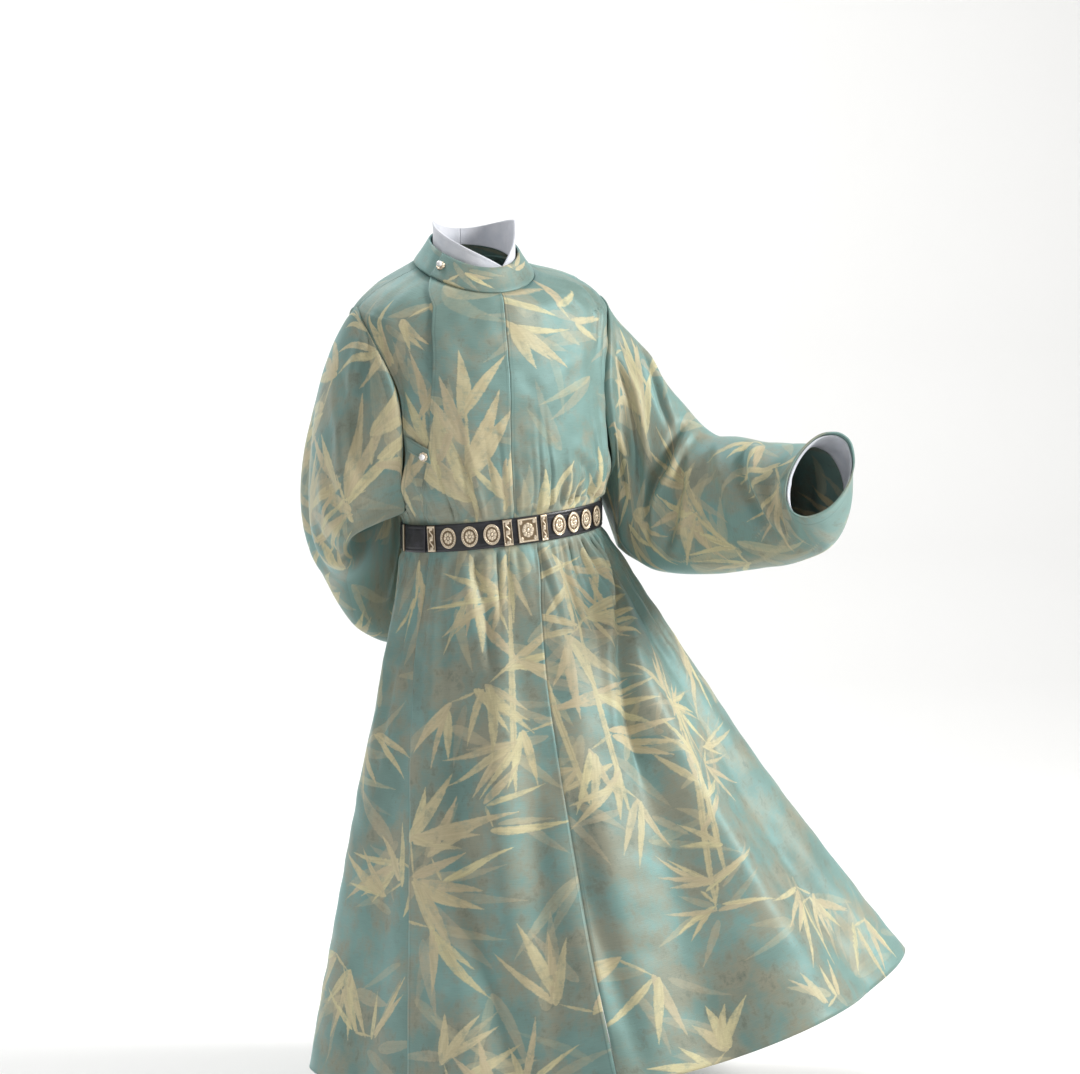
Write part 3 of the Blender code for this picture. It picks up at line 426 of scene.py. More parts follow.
LEFT_FRONT_SPRAYS = (
    Spray(0, 0.040, 136, 0.010, 7, 46, 0.110, 0.019),
    Spray(34, 0.050, 110, 0.000, 5, 40, 0.060, 0.012),
    Spray(66, 0.100, 190, 0.000, 4, 40, 0.070, 0.012),
    Spray(5, 0.345, 2, 0.010, 4, 34, 0.095, 0.018),
    Spray(24, 0.345, 14, 0.000, 3, 34, 0.070, 0.013),
    Spray(50, 0.345, -6, 0.020, 5, 34, 0.080, 0.014),
    Spray(12, 0.400, 172, 0.070, 8, 34, 0.095, 0.014),
    Spray(34, 0.400, 176, 0.050, 6, 28, 0.080, 0.011),
    Spray(5, 0.760, 0, 0.350, 10, 125, 0.115, 0.015),
    Spray(16, 0.780, 3, 0.300, 7, 120, 0.100, 0.013),
    Spray(10, 0.520, 176, 0.010, 8, 70, 0.110, 0.016),
    Spray(8, 0.680, 186, 0.000, 6, 64, 0.095, 0.016),
    Spray(20, 0.760, 200, 0.000, 5, 50, 0.085, 0.014),
    Spray(30, 0.940, 10, 0.330, 13, 46, 0.075, 0.010),
    Spray(35, 0.900, 6, 0.250, 9, 50, 0.065, 0.010),
    Spray(30, 0.935, 262, 0.000, 5, 36, 0.080, 0.010),
    Spray(31, 0.935, 96, 0.000, 4, 40, 0.075, 0.010),
    Spray(44, 0.640, 150, 0.040, 6, 50, 0.080, 0.010),
    Spray(54, 0.730, 104, 0.010, 6, 36, 0.075, 0.010),
    Spray(64, 0.985, 150, 0.010, 7, 78, 0.095, 0.012),
    Spray(60, 0.960, 250, 0.000, 5, 50, 0.085, 0.011),
    Spray(76, 1.060, 160, 0.000, 5, 46, 0.080, 0.012),
    Spray(11, 1.000, 196, 0.010, 6, 56, 0.110, 0.015),
    Spray(22, 1.120, -4, 0.000, 7, 58, 0.085, 0.019),
    Spray(48, 1.110, 10, 0.000, 4, 46, 0.070, 0.012),
    Spray(84, 0.560, 176, 0.060, 6, 44, 0.090, 0.014),
)
BACK_SPRAYS = (
    Spray(112, 0.330, 6, 0.100, 7, 34, 0.110, 0.018),
    Spray(126, 0.110, 200, 0.000, 6, 60, 0.090, 0.016),
    Spray(146, 0.300, -6, 0.110, 8, 38, 0.115, 0.019),
    Spray(164, 0.080, 160, 0.020, 7, 56, 0.100, 0.017),
    Spray(170, 0.335, 4, 0.060, 5, 34, 0.085, 0.015),
    Spray(110, 0.400, 176, 0.080, 7, 40, 0.095, 0.013),
    Spray(134, 0.420, 184, 0.060, 6, 36, 0.090, 0.013),
    Spray(160, 0.400, 172, 0.080, 7, 34, 0.095, 0.014),
    Spray(118, 0.640, 196, 0.020, 8, 70, 0.105, 0.016),
    Spray(150, 0.620, 170, 0.020, 7, 66, 0.110, 0.016),
    Spray(136, 0.860, 8, 0.160, 9, 44, 0.085, 0.012),
    Spray(104, 0.840, 150, 0.000, 7, 70, 0.105, 0.017),
    Spray(168, 0.850, 190, 0.000, 8, 74, 0.110, 0.018),
    Spray(118, 1.040, -6, 0.010, 7, 60, 0.105, 0.017),
    Spray(152, 1.060, 10, 0.010, 8, 64, 0.105, 0.017),
    Spray(98, 1.060, 30, 0.000, 5, 50, 0.090, 0.014),
    Spray(174, 1.080, -12, 0.000, 5, 50, 0.090, 0.014),
)
LEFT_SLEEVE_SPRAYS = (
    Spray(72, 0.31, -30, 0.040, 8, 42, 0.100, 0.018),
    Spray(40, 0.16, 160, 0.010, 5, 46, 0.070, 0.013),
    Spray(96, 0.20, 20, 0.020, 6, 40, 0.085, 0.016),
    Spray(120, 0.30, 200, 0.010, 6, 50, 0.085, 0.015),
    Spray(56, 0.53, 84, 0.060, 9, 44, 0.090, 0.012),
    Spray(96, 0.56, 60, 0.020, 7, 56, 0.085, 0.011),
    Spray(130, 0.66, -20, 0.010, 6, 60, 0.080, 0.012),
    Spray(84, 0.86, 66, 0.030, 7, 50, 0.080, 0.010),
    Spray(60, 0.94, 10, 0.000, 4, 50, 0.060, 0.009),
    Spray(20, 0.74, 90, 0.020, 6, 50, 0.070, 0.011),
    Spray(-30, 0.34, 20, 0.040, 7, 50, 0.095, 0.016),
    Spray(-80, 0.30, 190, 0.020, 7, 60, 0.095, 0.016),
    Spray(-120, 0.50, 10, 0.040, 7, 50, 0.090, 0.015),
    Spray(-60, 0.66, 0, 0.020, 7, 60, 0.085, 0.014),
    Spray(-110, 0.86, 20, 0.010, 6, 60, 0.080, 0.013),
    Spray(164, 0.24, 10, 0.040, 6, 44, 0.085, 0.015),
    Spray(-160, 0.74, 6, 0.040, 6, 50, 0.080, 0.013),
)
RIGHT_SLEEVE_SPRAYS = (
    Spray(150, 0.14, -108, 0.070, 8, 46, 0.115, 0.019),
    Spray(96, 0.10, -30, 0.020, 6, 50, 0.090, 0.018),
    Spray(50, 0.03, 160, 0.010, 6, 54, 0.090, 0.017),
    Spray(70, 0.26, 190, 0.010, 6, 60, 0.095, 0.016),
    Spray(176, 0.30, -80, 0.020, 6, 50, 0.090, 0.015),
    Spray(120, 0.36, -60, 0.020, 7, 56, 0.095, 0.016),
    Spray(80, 0.50, 10, 0.040, 7, 50, 0.100, 0.016),
    Spray(140, 0.54, 20, 0.030, 7, 56, 0.095, 0.015),
    Spray(100, 0.76, -10, 0.040, 7, 50, 0.090, 0.015),
    Spray(150, 0.84, 10, 0.010, 5, 56, 0.080, 0.013),
    Spray(20, 0.44, 170, 0.040, 7, 50, 0.095, 0.016),
    Spray(20, 0.80, 10, 0.040, 6, 50, 0.085, 0.014),
    Spray(-50, 0.30, 180, 0.040, 7, 60, 0.100, 0.016),
    Spray(-100, 0.50, 10, 0.040, 7, 56, 0.095, 0.016),
    Spray(-60, 0.72, 0, 0.020, 6, 56, 0.085, 0.014),
    Spray(-140, 0.74, 10, 0.020, 6, 56, 0.085, 0.014),
)
COLLAR_SPRAYS = (
    Spray(-30, 0.9, 250, 0.000, 4, 30, 0.050, 0.010),
    Spray(30, 0.5, 96, 0.000, 4, 30, 0.060, 0.010),
    Spray(100, 0.7, 80, 0.000, 4, 30, 0.060, 0.010),
    Spray(170, 0.5, 100, 0.000, 4, 30, 0.060, 0.010),
    Spray(240, 0.7, 84, 0.000, 4, 30, 0.060, 0.010),
)

# Where the photograph was taken from: a camera turned to the wearer's right, in its own
# axes of right and back, tilted down, in a frame of 1080 by 1074 pixels.
CAMERA_TURN = -22.0
CAMERA_SIDE = 0.093
CAMERA_BACK = 4.6
CAMERA_RISE = 0.06
CAMERA_TILT = 5.46
CAMERA_FOCAL_PX = 3262.0
IMAGE_WIDTH_PX = 1080
SENSOR = 36.0

# The studio: the floor's line from below the camera to the wall behind, as how far back and
# how high above the floor, and its lights.
FLOOR_Z = -1.20
FLOOR_LINE = ((-7.0, 0.0), (3.0, 0.0), (3.8, 0.08), (4.5, 0.35), (5.0, 0.9), (5.2, 1.7), (5.2, 6.0))
FLOOR_HALF_WIDTH = 9
WORLD_COLOUR = (1.0, 1.0, 0.965, 1.0)
WORLD_STRENGTH = 0.27
MID_ROBE = (0.1, 0, -0.5)
Light = namedtuple("Light", "name place target size power tint")
LIGHTS = (
    Light("key", (3.1, -2.2, 1.7), MID_ROBE, 1.4, 215, (1.0, 0.99, 0.97)),
    Light("fill", (-3.0, -3.0, 0.6), MID_ROBE, 2.6, 22, (1, 1, 1)),
    Light("back", (-0.6, 2.6, 2.6), MID_ROBE, 2.0, 30, (1, 1, 1)),
    Light("backdrop", (-1.5, 1.5, 3.2), (-2.0, 5.0, -0.5), 3.0, 220, (1, 1, 1)),
)


def smooth_slopes(at, values):
    """Slopes at each row for a curve that passes every row and never swings past one."""
    gaps = np.diff(at)
    rates = np.diff(values, axis=0) / gaps.reshape((-1,) + (1,) * (values.ndim - 1))
    slopes = np.zeros_like(values)
    slopes[0], slopes[-1] = rates[0], rates[-1]
    same_way = rates[:-1] * rates[1:] > 0
    total = np.where(same_way, rates[:-1] + rates[1:], 1.0)
    slopes[1:-1] = np.where(same_way, 2 * rates[:-1] * rates[1:] / total, 0.0)
    return slopes


def passing_slopes(at, values):
    """Slopes at each row for a free, rounded curve through the rows."""
    return np.gradient(values, at, axis=0)


def read_curve(at, values, wanted, slopes_of=smooth_slopes):
    """The table's values at the wanted places, along a cubic curve through its rows."""
    at, values = np.asarray(at, float), np.asarray(values, float)
    wanted = np.clip(wanted, at[0], at[-1])
    slopes = slopes_of(at, values)
    row = np.clip(np.searchsorted(at, wanted, side="right") - 1, 0, len(at) - 2)
    gap = at[row + 1] - at[row]
    t = (wanted - at[row]) / gap
    shape = t.shape + (1,) * (values.ndim - 1)
    t, gap = t.reshape(shape), gap.reshape(shape)
    h00 = 2 * t**3 - 3 * t**2 + 1
    h10 = t**3 - 2 * t**2 + t
    h01 = -2 * t**3 + 3 * t**2
    h11 = t**3 - t**2
    passed = h00 * values[row] + h01 * values[row + 1]
    return passed + gap * (h10 * slopes[row] + h11 * slopes[row + 1])


def ease(x):
    """A smooth rise from 0 to 1, level at both ends."""
    x = np.clip(x, 0.0, 1.0)
    return x * x * (3 - 2 * x)


def unit(vectors):
    return vectors / np.linalg.norm(vectors, axis=-1, keepdims=True)


def turned_from(angle, centre):
    """How far one angle lies from another, the short way round."""
    return (angle - centre + 180.0) % 360.0 - 180.0


def fold_rise(angle, down):
    """How far the folds lift the cloth at an angle round the robe and a distance down it."""
    rise = np.zeros(np.broadcast(angle, down).shape)
    for fold in FOLDS:
        t = np.clip((down - fold.top) / (fold.end - fold.top), 0.0, 1.0)
        centre = fold.angle_top + (fold.angle_end - fold.angle_top) * t
        spread = fold.spread_top + (fold.spread_end - fold.spread_top) * t
        height = fold.rise_top + (fold.rise_end - fold.rise_top) * t
        fade = ease((down - fold.top + FOLD_FADE) / FOLD_FADE)
        if fold.end < HEM:
            fade = fade * ease((BELT_TOP - down) / (BELT_TOP - fold.end) / 2)
        else:
            fade = fade * ease((down - BELT_BOTTOM) / FOLD_FADE)
        rise += height * fade * np.exp(-((turned_from(angle, centre) / spread) ** 2))
    return rise


def ring_column(name, down):
    """One column of the rings' table, at each distance down."""
    return read_curve([ring.down for ring in RINGS], [getattr(ring, name) for ring in RINGS], down)


def ring_point(angle, down):
    """A point of the robe above the belt, before its folds."""
    turn = np.radians(angle)
    across, ahead = np.sin(turn), np.cos(turn)
    depth = np.where(ahead > 0, ring_column("front", down), ring_column("back", down))
    x = ring_column("x", down) + ring_column("half_width", down) * across
    y = ring_column("y", down) - depth * ahead
    z = -down - ring_column("nod", down) * ahead - ring_column("bow", down) * ahead**2
    return np.stack([x, y, z + ring_column("sway", down) * across], -1)


def skirt_point(angle, down):
    """A point of the skirt: straight from the belt to the hem, each line of one length."""
    t = np.maximum((down - BELT_BOTTOM) / SKIRT_LENGTH, 0.0)
    turn, spin = np.radians(angle), math.radians(HEM_TURN)
    across, ahead = np.sin(turn), np.cos(turn)
    wide = HEM_HALF_WIDTH * across
    deep = -HEM_DEPTH * ahead
    waist = ring_point(angle, np.full(np.shape(t), BELT_BOTTOM))
    reach_x = HEM_X + wide * math.cos(spin) - deep * math.sin(spin) - waist[..., 0]
    reach_y = HEM_Y + wide * math.sin(spin) + deep * math.cos(spin) - waist[..., 1]
    fall = np.sqrt(SKIRT_LENGTH**2 - reach_x**2 - reach_y**2)
    bow = HEM_FLARE_RIGHT * np.clip(-across, 0, 1) - HEM_HOLLOW_LEFT * np.clip(across, 0, 1)
    bulge = t + bow * t * (1 - t)
    x = waist[..., 0] + reach_x * bulge
    y = waist[..., 1] + reach_y * bulge
    return np.stack([x, y, waist[..., 2] - fall * t], -1)


def plain_point(angle, down):
    """A point of the robe or its skirt, before the folds."""
    angle, down = np.broadcast_arrays(np.asarray(angle, float), np.asarray(down, float))
    above = ring_point(angle, np.minimum(down, BELT_BOTTOM))
    return np.where((down > BELT_BOTTOM)[..., None], skirt_point(angle, down), above)


def outward(point_of, angle, down):
    """The surface's direction away from the wearer, worked out from points close by."""
    along = point_of(angle, down + DOWN_STEP) - point_of(angle, down - DOWN_STEP)
    around = point_of(angle + TURN_STEP, down) - point_of(angle - TURN_STEP, down)
    return unit(np.cross(along, around))


def folded_point(angle, down):
    """A point of the robe's inner face with the folds of its solid, without creases."""
    angle, down = np.broadcast_arrays(np.asarray(angle, float), np.asarray(down, float))
    rise = fold_rise(angle, down)[..., None]
    return plain_point(angle, down) + outward(plain_point, angle, down) * rise


def cloth_faces(angle, down, lift, thickness=CLOTH):
    """The outer and inner points of a piece that lies on the robe's uncreased form."""
    base = folded_point(angle, down)
    normal = outward(folded_point, angle, down)
    lift = np.broadcast_to(np.asarray(lift, float), base.shape[:-1])[..., None]
    thickness = np.broadcast_to(np.asarray(thickness, float), base.shape[:-1])[..., None]
    return base + normal * (lift + thickness), base + normal * lift


def ring_scale():
    """Metres of cloth for one degree round the robe, at each distance down it."""
    downs = np.linspace(0, HEM, 80)
    angle, down = np.meshgrid(np.arange(0, 361, 6.0), downs)
    steps = np.linalg.norm(np.diff(plain_point(angle, down), axis=1), axis=-1)
    return downs, steps.sum(1) / 360


SCALE_DOWN, SCALE_VALUE = ring_scale()


def metres_per_degree(down):
    return np.interp(down, SCALE_DOWN, SCALE_VALUE)


def crease_rise(turn, along, creases, per_degree, per_along):
    """How far the creases move the cloth: a trough along each path with a ridge on one side."""
    rise = np.zeros(np.broadcast(turn, along).shape)
    for crease in creases:
        path = np.array(crease.path, float)
        legs = np.hypot(np.diff(path[:, 0]) * CREASE_PER_DEGREE, np.diff(path[:, 1]) * per_along)
        total = legs.sum()
        nearest = np.full(rise.shape, 1e9)
        side, place = np.zeros(rise.shape), np.zeros(rise.shape)
        walked = 0.0
        for (a0, b0), (a1, b1), leg in zip(path[:-1], path[1:], legs):
            x, y = turned_from(turn, a0) * per_degree, (along - b0) * per_along
            ux, uy = (a1 - a0) * per_degree, (b1 - b0) * per_along
            size = np.maximum(ux**2 + uy**2, 1e-12)
            t = np.clip((x * ux + y * uy) / size, 0.0, 1.0)
            gap = np.hypot(x - ux * t, y - uy * t)
            closer = gap < nearest
            nearest = np.where(closer, gap, nearest)
            side = np.where(closer, (ux * y - uy * x) / np.sqrt(size), side)
            place = np.where(closer, (walked + t * leg) / total, place)
            walked += leg
        taper = np.sin(np.pi * np.clip(place, 0.02, 0.98)) ** CREASE_FADE
        width = crease.width * (0.7 + 0.3 * taper)
        trough = -crease.depth * np.exp(-((nearest / width) ** 2))
        beside = np.where(nearest < RIDGE_REACH * width, side, 1.0)
        ridge = crease.ridge * np.exp(-(((beside - RIDGE_ASIDE * width) / (RIDGE_WIDTH * width)) ** 2))
        ridge = ridge * np.exp(-np.maximum(nearest - np.abs(side), 0) / width)
        rise += taper * (trough + ridge)
    return rise


def either_way(rng, reach):
    return rng.uniform(-reach, reach)


def gather_rise(angle, down):
    """Short uneven pleats where the belt draws the cloth in, above and below it."""
    rng = np.random.default_rng(GATHER_SEED)
    rise = np.zeros(np.broadcast(angle, down).shape)
    for number in range(GATHER_COUNT):
        centre = (number + either_way(rng, GATHER_SHIFT)) * 360 / GATHER_COUNT
        lean = either_way(rng, GATHER_LEAN)
        for sign, edge in ((-1, BELT_TOP), (1, BELT_BOTTOM)):
            length, width = rng.uniform(*GATHER_LENGTHS), rng.uniform(*GATHER_WIDTHS)
            height = rng.uniform(*GATHER_HEIGHTS)
            away = sign * (down - edge)
            fade = ease(away / GATHER_START) * np.exp(-((away / length) ** 2)) * (away > 0)
            offset = turned_from(angle, centre + lean * away) / width
            rise += fade * (0.6 * height * np.exp(-(offset - 1.5) ** 2) - height * np.exp(-offset**2))
    return rise


def wave_rise(u, v, seed, height=WAVE_HEIGHT):
    """Gentle unevenness of hanging cloth."""
    rng = np.random.default_rng(seed)
    rise = np.zeros(np.shape(u))
    for _ in range(WAVES):
        heading, length = rng.uniform(0, math.pi), rng.uniform(*WAVE_LENGTHS)
        phase = rng.uniform(0, 2 * math.pi)
        rise += np.sin((u * math.cos(heading) + v * math.sin(heading)) / length * 2 * math.pi + phase)
    return rise * height / math.sqrt(WAVES)


# One leaf on the flat cloth. Its tone runs from cream to sand, its strength from faint to full.
Blade = namedtuple("Blade", "u v heading length width bend tone strength")
PRINT_LAYERS = 3
FAINT_LEAVES = 60
FULL_STRENGTH = 0.6
LEAF_SWELL = 0.62
LEAF_ROUND = 0.9
LEAF_STEPS = (14, 26)
LEAF_LENGTHS = (0.72, 1.20)
LEAF_WIDTHS = (0.54, 0.96)
LEAF_SHIFT = 0.006
SHADOW_SHIFT = 0.03
STEM_WIDTH = 0.0075
STEM_LEAST = 0.03
TWIG_WIDTH = 0.004
NO_BLADE = Blade(100.0, 100.0, 0.0, 1.0, 0.01, 0.0, 0.0, 0.0)


def leaf_group(spray, u, v, heading, count, rng):
    """A few leaves that grow from one node, nearly side by side."""
    step = rng.uniform(*LEAF_STEPS)
    blades = []
    for number in range(count):
        off = number - (count - 1) / 2
        size = rng.uniform(*LEAF_LENGTHS) * (1 - 0.14 * abs(off))
        turn = heading + off * step + either_way(rng, 7)
        length, width = spray.length * size, spray.width * rng.uniform(*LEAF_WIDTHS)
        bend, tone = either_way(rng, 0.14) + 0.03 * off, rng.uniform(0.0, 0.8)
        root_u, root_v = u + either_way(rng, LEAF_SHIFT), v + either_way(rng, LEAF_SHIFT)
        blades.append(Blade(root_u, root_v, turn, length, width, bend, tone, rng.uniform(0.85, 1.0)))
    return blades


def spray_blades(spray, u0, v0, rng):
    """A spray's faint shadow leaves, its stem, and its leaves in groups."""
    sine, cosine = math.sin(math.radians(spray.heading)), math.cos(math.radians(spray.heading))
    blades = []
    for _ in range(spray.leaves // 2):
        heading = spray.heading + either_way(rng, 1) * (spray.fan + 30)
        at = spray.reach * rng.uniform(0, 1)
        u = u0 + sine * at + either_way(rng, SHADOW_SHIFT)
        v = v0 - cosine * at + either_way(rng, SHADOW_SHIFT)
        length, width = spray.length * rng.uniform(0.6, 1.1), spray.width * rng.uniform(0.7, 1.2)
        bend, tone = either_way(rng, 0.2), rng.uniform(0.5, 1.0)
        blades.append(Blade(u, v, heading, length, width, bend, tone, rng.uniform(0.25, 0.5)))
    if spray.reach > STEM_LEAST:
        blades.append(Blade(u0, v0, spray.heading, spray.reach * 1.15, STEM_WIDTH, 0.03, 0.3, 0.95))
        groups = max(round(spray.leaves / 2.5), 2)
        for number in range(groups):
            at = spray.reach * (number + 0.7) / groups
            side = 1 if number % 2 else -1
            turn = side * spray.fan * (1.1 - 0.7 * number / groups) * rng.uniform(0.7, 1.2)
            u, v = u0 + sine * at, v0 - cosine * at
            blades += leaf_group(spray, u, v, spray.heading + turn, rng.integers(2, 4), rng)
    else:
        first = (spray.leaves + 1) // 2
        blades += leaf_group(spray, u0, v0, spray.heading + either_way(rng, 8), first, rng)
        side = rng.choice((-1, 1))
        away = 0.35 * spray.length
        u = u0 - sine * away * 0.6 + side * cosine * away
        v = v0 + cosine * away * 0.6 + side * sine * away
        turn = side * spray.fan * rng.uniform(0.6, 1.1)
        blades.append(Blade(u, v, spray.heading - side * 60, away * 1.1, TWIG_WIDTH, 0.0, 0.3, 0.9))
        blades += leaf_group(spray, u, v, spray.heading + turn, spray.leaves - first, rng)
    return blades


def print_blades(placed, low, high, seed):
    """All leaves of a piece: faint ones scattered behind, then each spray's own."""
    rng = np.random.default_rng(seed)
    blades = []
    for _ in range(int((high[0] - low[0]) * (high[1] - low[1]) * FAINT_LEAVES)):
        u, v = rng.uniform(low[0], high[0]), rng.uniform(low[1], high[1])
        heading = rng.uniform(-180, 180)
        for _ in range(rng.integers(1, 4)):
            heading += rng.uniform(18, 40)
            length, width = rng.uniform(0.06, 0.13), rng.uniform(0.010, 0.018)
            bend, tone = either_way(rng, 0.2), rng.uniform(0.3, 1.0)
            blades.append(Blade(u, v, heading, length, width, bend, tone, rng.uniform(0.18, 0.45)))
    for spray, u0, v0 in placed:
        blades += spray_blades(spray, u0, v0, rng)
    return sorted(blades, key=lambda blade: blade.strength > FULL_STRENGTH)


def leaf_height(s, t, half, curve):
    """How far inside a leaf's outline a place lies, from its shares of the leaf's size."""
    share = np.clip(s, 0.0, 1.0)
    swell = np.sin(np.pi * share**LEAF_SWELL) ** LEAF_ROUND
    return (swell - np.abs(t - curve * share**2)) * half


def print_fields(u, v, blades, around):
    """For each face its topmost leaves: its corners' places in the leaf, and the leaf's look."""
    rows = [
        (b.u, b.v, math.sin(math.radians(b.heading)), math.cos(math.radians(b.heading)), b.length,
         b.width / 2, 2 * b.bend * b.length / b.width, b.tone, b.strength)
        for b in [*blades, NO_BLADE]
    ]
    table = np.array(rows)
    middle_u, middle_v = u.mean(1), v.mean(1)
    best = np.full((len(u), PRINT_LAYERS), -0.009)
    chosen = np.full((len(u), PRINT_LAYERS), -1)
    for number, (u0, v0, sine, cosine, length, half, curve, _, _) in enumerate(rows[:-1]):
        du, dv = middle_u - u0, middle_v - v0
        if around is not None:
            du = du - np.round(du / around) * around
        close = np.flatnonzero(np.hypot(du, dv) < length + 0.01)
        du, dv = du[close], dv[close]
        s = (du * sine - dv * cosine) / length
        height = leaf_height(s, (du * cosine + dv * sine) / half, half, curve)
        height -= np.maximum(np.abs(s - 0.5) - 0.5, 0) * length
        worst = best[close].argmin(1)
        better = height > best[close, worst]
        best[close[better], worst[better]] = height[better]
        chosen[close[better], worst[better]] = number
    chosen.sort(axis=1)
    fields = {}
    for layer in range(PRINT_LAYERS):
        look = table[chosen[:, layer]].T[..., None]
        u0, v0, sine, cosine, length, half, curve, tone, strength = look
        du, dv = u - u0, v - v0
        if around is not None:
            du = du - (np.round((middle_u - u0[:, 0]) / around) * around)[:, None]
        s, t = (du * sine - dv * cosine) / length, (du * cosine + dv * sine) / half
        fields[f"leaf_{layer}"] = np.stack([s, t, curve + 0 * s], -1)
        fields[f"look_{layer}"] = np.stack([tone + 0 * s, strength + 0 * s, half + 0 * s], -1)
    return fields


def dust_of(u, v, placed):
    """How near a place is to a spray's middle, where the print is clouded."""
    dust = np.zeros(u.shape)
    for spray, u0, v0 in placed:
        away = np.hypot(u - u0, v - v0)
        dust = np.maximum(dust, np.exp(-((away / (spray.reach + 0.6 * spray.length)) ** 2)))
    return dust


def grid_directions(grid, closed):
    """Outward directions of a grid of points, rows along the piece and columns round it."""
    along = np.gradient(grid, axis=0)
    if closed:
        around = np.roll(grid, -1, axis=1) - np.roll(grid, 1, axis=1)
    else:
        around = np.gradient(grid, axis=1)
    return unit(np.cross(along, around))


def link_object(name, data):
    made = bpy.data.objects.new(name, data)
    bpy.context.scene.collection.objects.link(made)
    return made


def wall_corners(rows, cols, closed):
    """The faces of a wall, each as four corners of (side, row, column). Side 0 is the outer."""
    first_rows, first_cols = np.arange(rows - 1), np.arange(cols if closed else cols - 1)
    i, j = (a.ravel() for a in np.meshgrid(first_rows, first_cols, indexing="ij"))
    outer = [(0, i, j), (0, i + 1, j), (0, i + 1, j + 1), (0, i, j + 1)]
    inner = [(1, row, col) for _, row, col in reversed(outer)]
    i, j, last_row, last_col = first_rows, first_cols, rows - 1, cols - 1
    groups = [
        outer,
        inner,
        [(0, 0, j), (0, 0, j + 1), (1, 0, j + 1), (1, 0, j)],
        [(1, last_row, j), (1, last_row, j + 1), (0, last_row, j + 1), (0, last_row, j)],
    ]
    if not closed:
        groups.append([(1, i, 0), (1, i + 1, 0), (0, i + 1, 0), (0, i, 0)])
        groups.append([(0, i, last_col), (0, i + 1, last_col), (1, i + 1, last_col), (1, i, last_col)])
    faces = [[np.stack(np.broadcast_arrays(*corner), -1) for corner in group] for group in groups]
    return np.concatenate([np.stack(group, 1) for group in faces])


def shell(name, outer, inner, u, v, material, closed=False, fields=None, placed=None, seed=0):
    """A closed thin wall between two grids. u and v have one column more where it closes."""
    rows, cols = outer.shape[:2]
    corners = wall_corners(rows, cols, closed)
    if np.sum(grid_directions(outer, closed) * (outer - inner)) < 0:
        corners = corners[:, ::-1]
    side, row, col = np.moveaxis(corners, -1, 0)
    quads = (side * rows + row) * cols + col % cols
    mesh = bpy.data.meshes.new(name)
    points = np.concatenate([outer.reshape(-1, 3), inner.reshape(-1, 3)])
    mesh.from_pydata(points.tolist(), [], quads.tolist())
    mesh.polygons.foreach_set("use_smooth", side.min(1) == side.max(1))
    layer = mesh.uv_layers.new(name="cloth")
    pairs = np.stack([u[row, col], v[row, col]], -1)
    layer.uv.foreach_set("vector", pairs.astype(np.float32).ravel())
    if placed is not None:
        low, high = pairs.min((0, 1)), pairs.max((0, 1))
        around = (u[:, -1] - u[:, 0])[row].mean(1) if closed else None
        blades = print_blades(placed, low, high, seed)
        for field, values in print_fields(pairs[..., 0], pairs[..., 1], blades, around).items():
            attribute = mesh.attributes.new(field, "FLOAT_VECTOR", "CORNER")
            attribute.data.foreach_set("vector", values.astype(np.float32).ravel())
    for field, values in (fields or {}).items():
        attribute = mesh.attributes.new(field, "FLOAT", "POINT")
        twice = np.concatenate([values.ravel(), values.ravel()])
        attribute.data.foreach_set("value", twice.astype(np.float32))
    mesh.validate()
    mesh.materials.append(material)
    return link_object(name, mesh)


def take_place(piece, node):
    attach(piece, "root")
    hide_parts(node)
    return piece


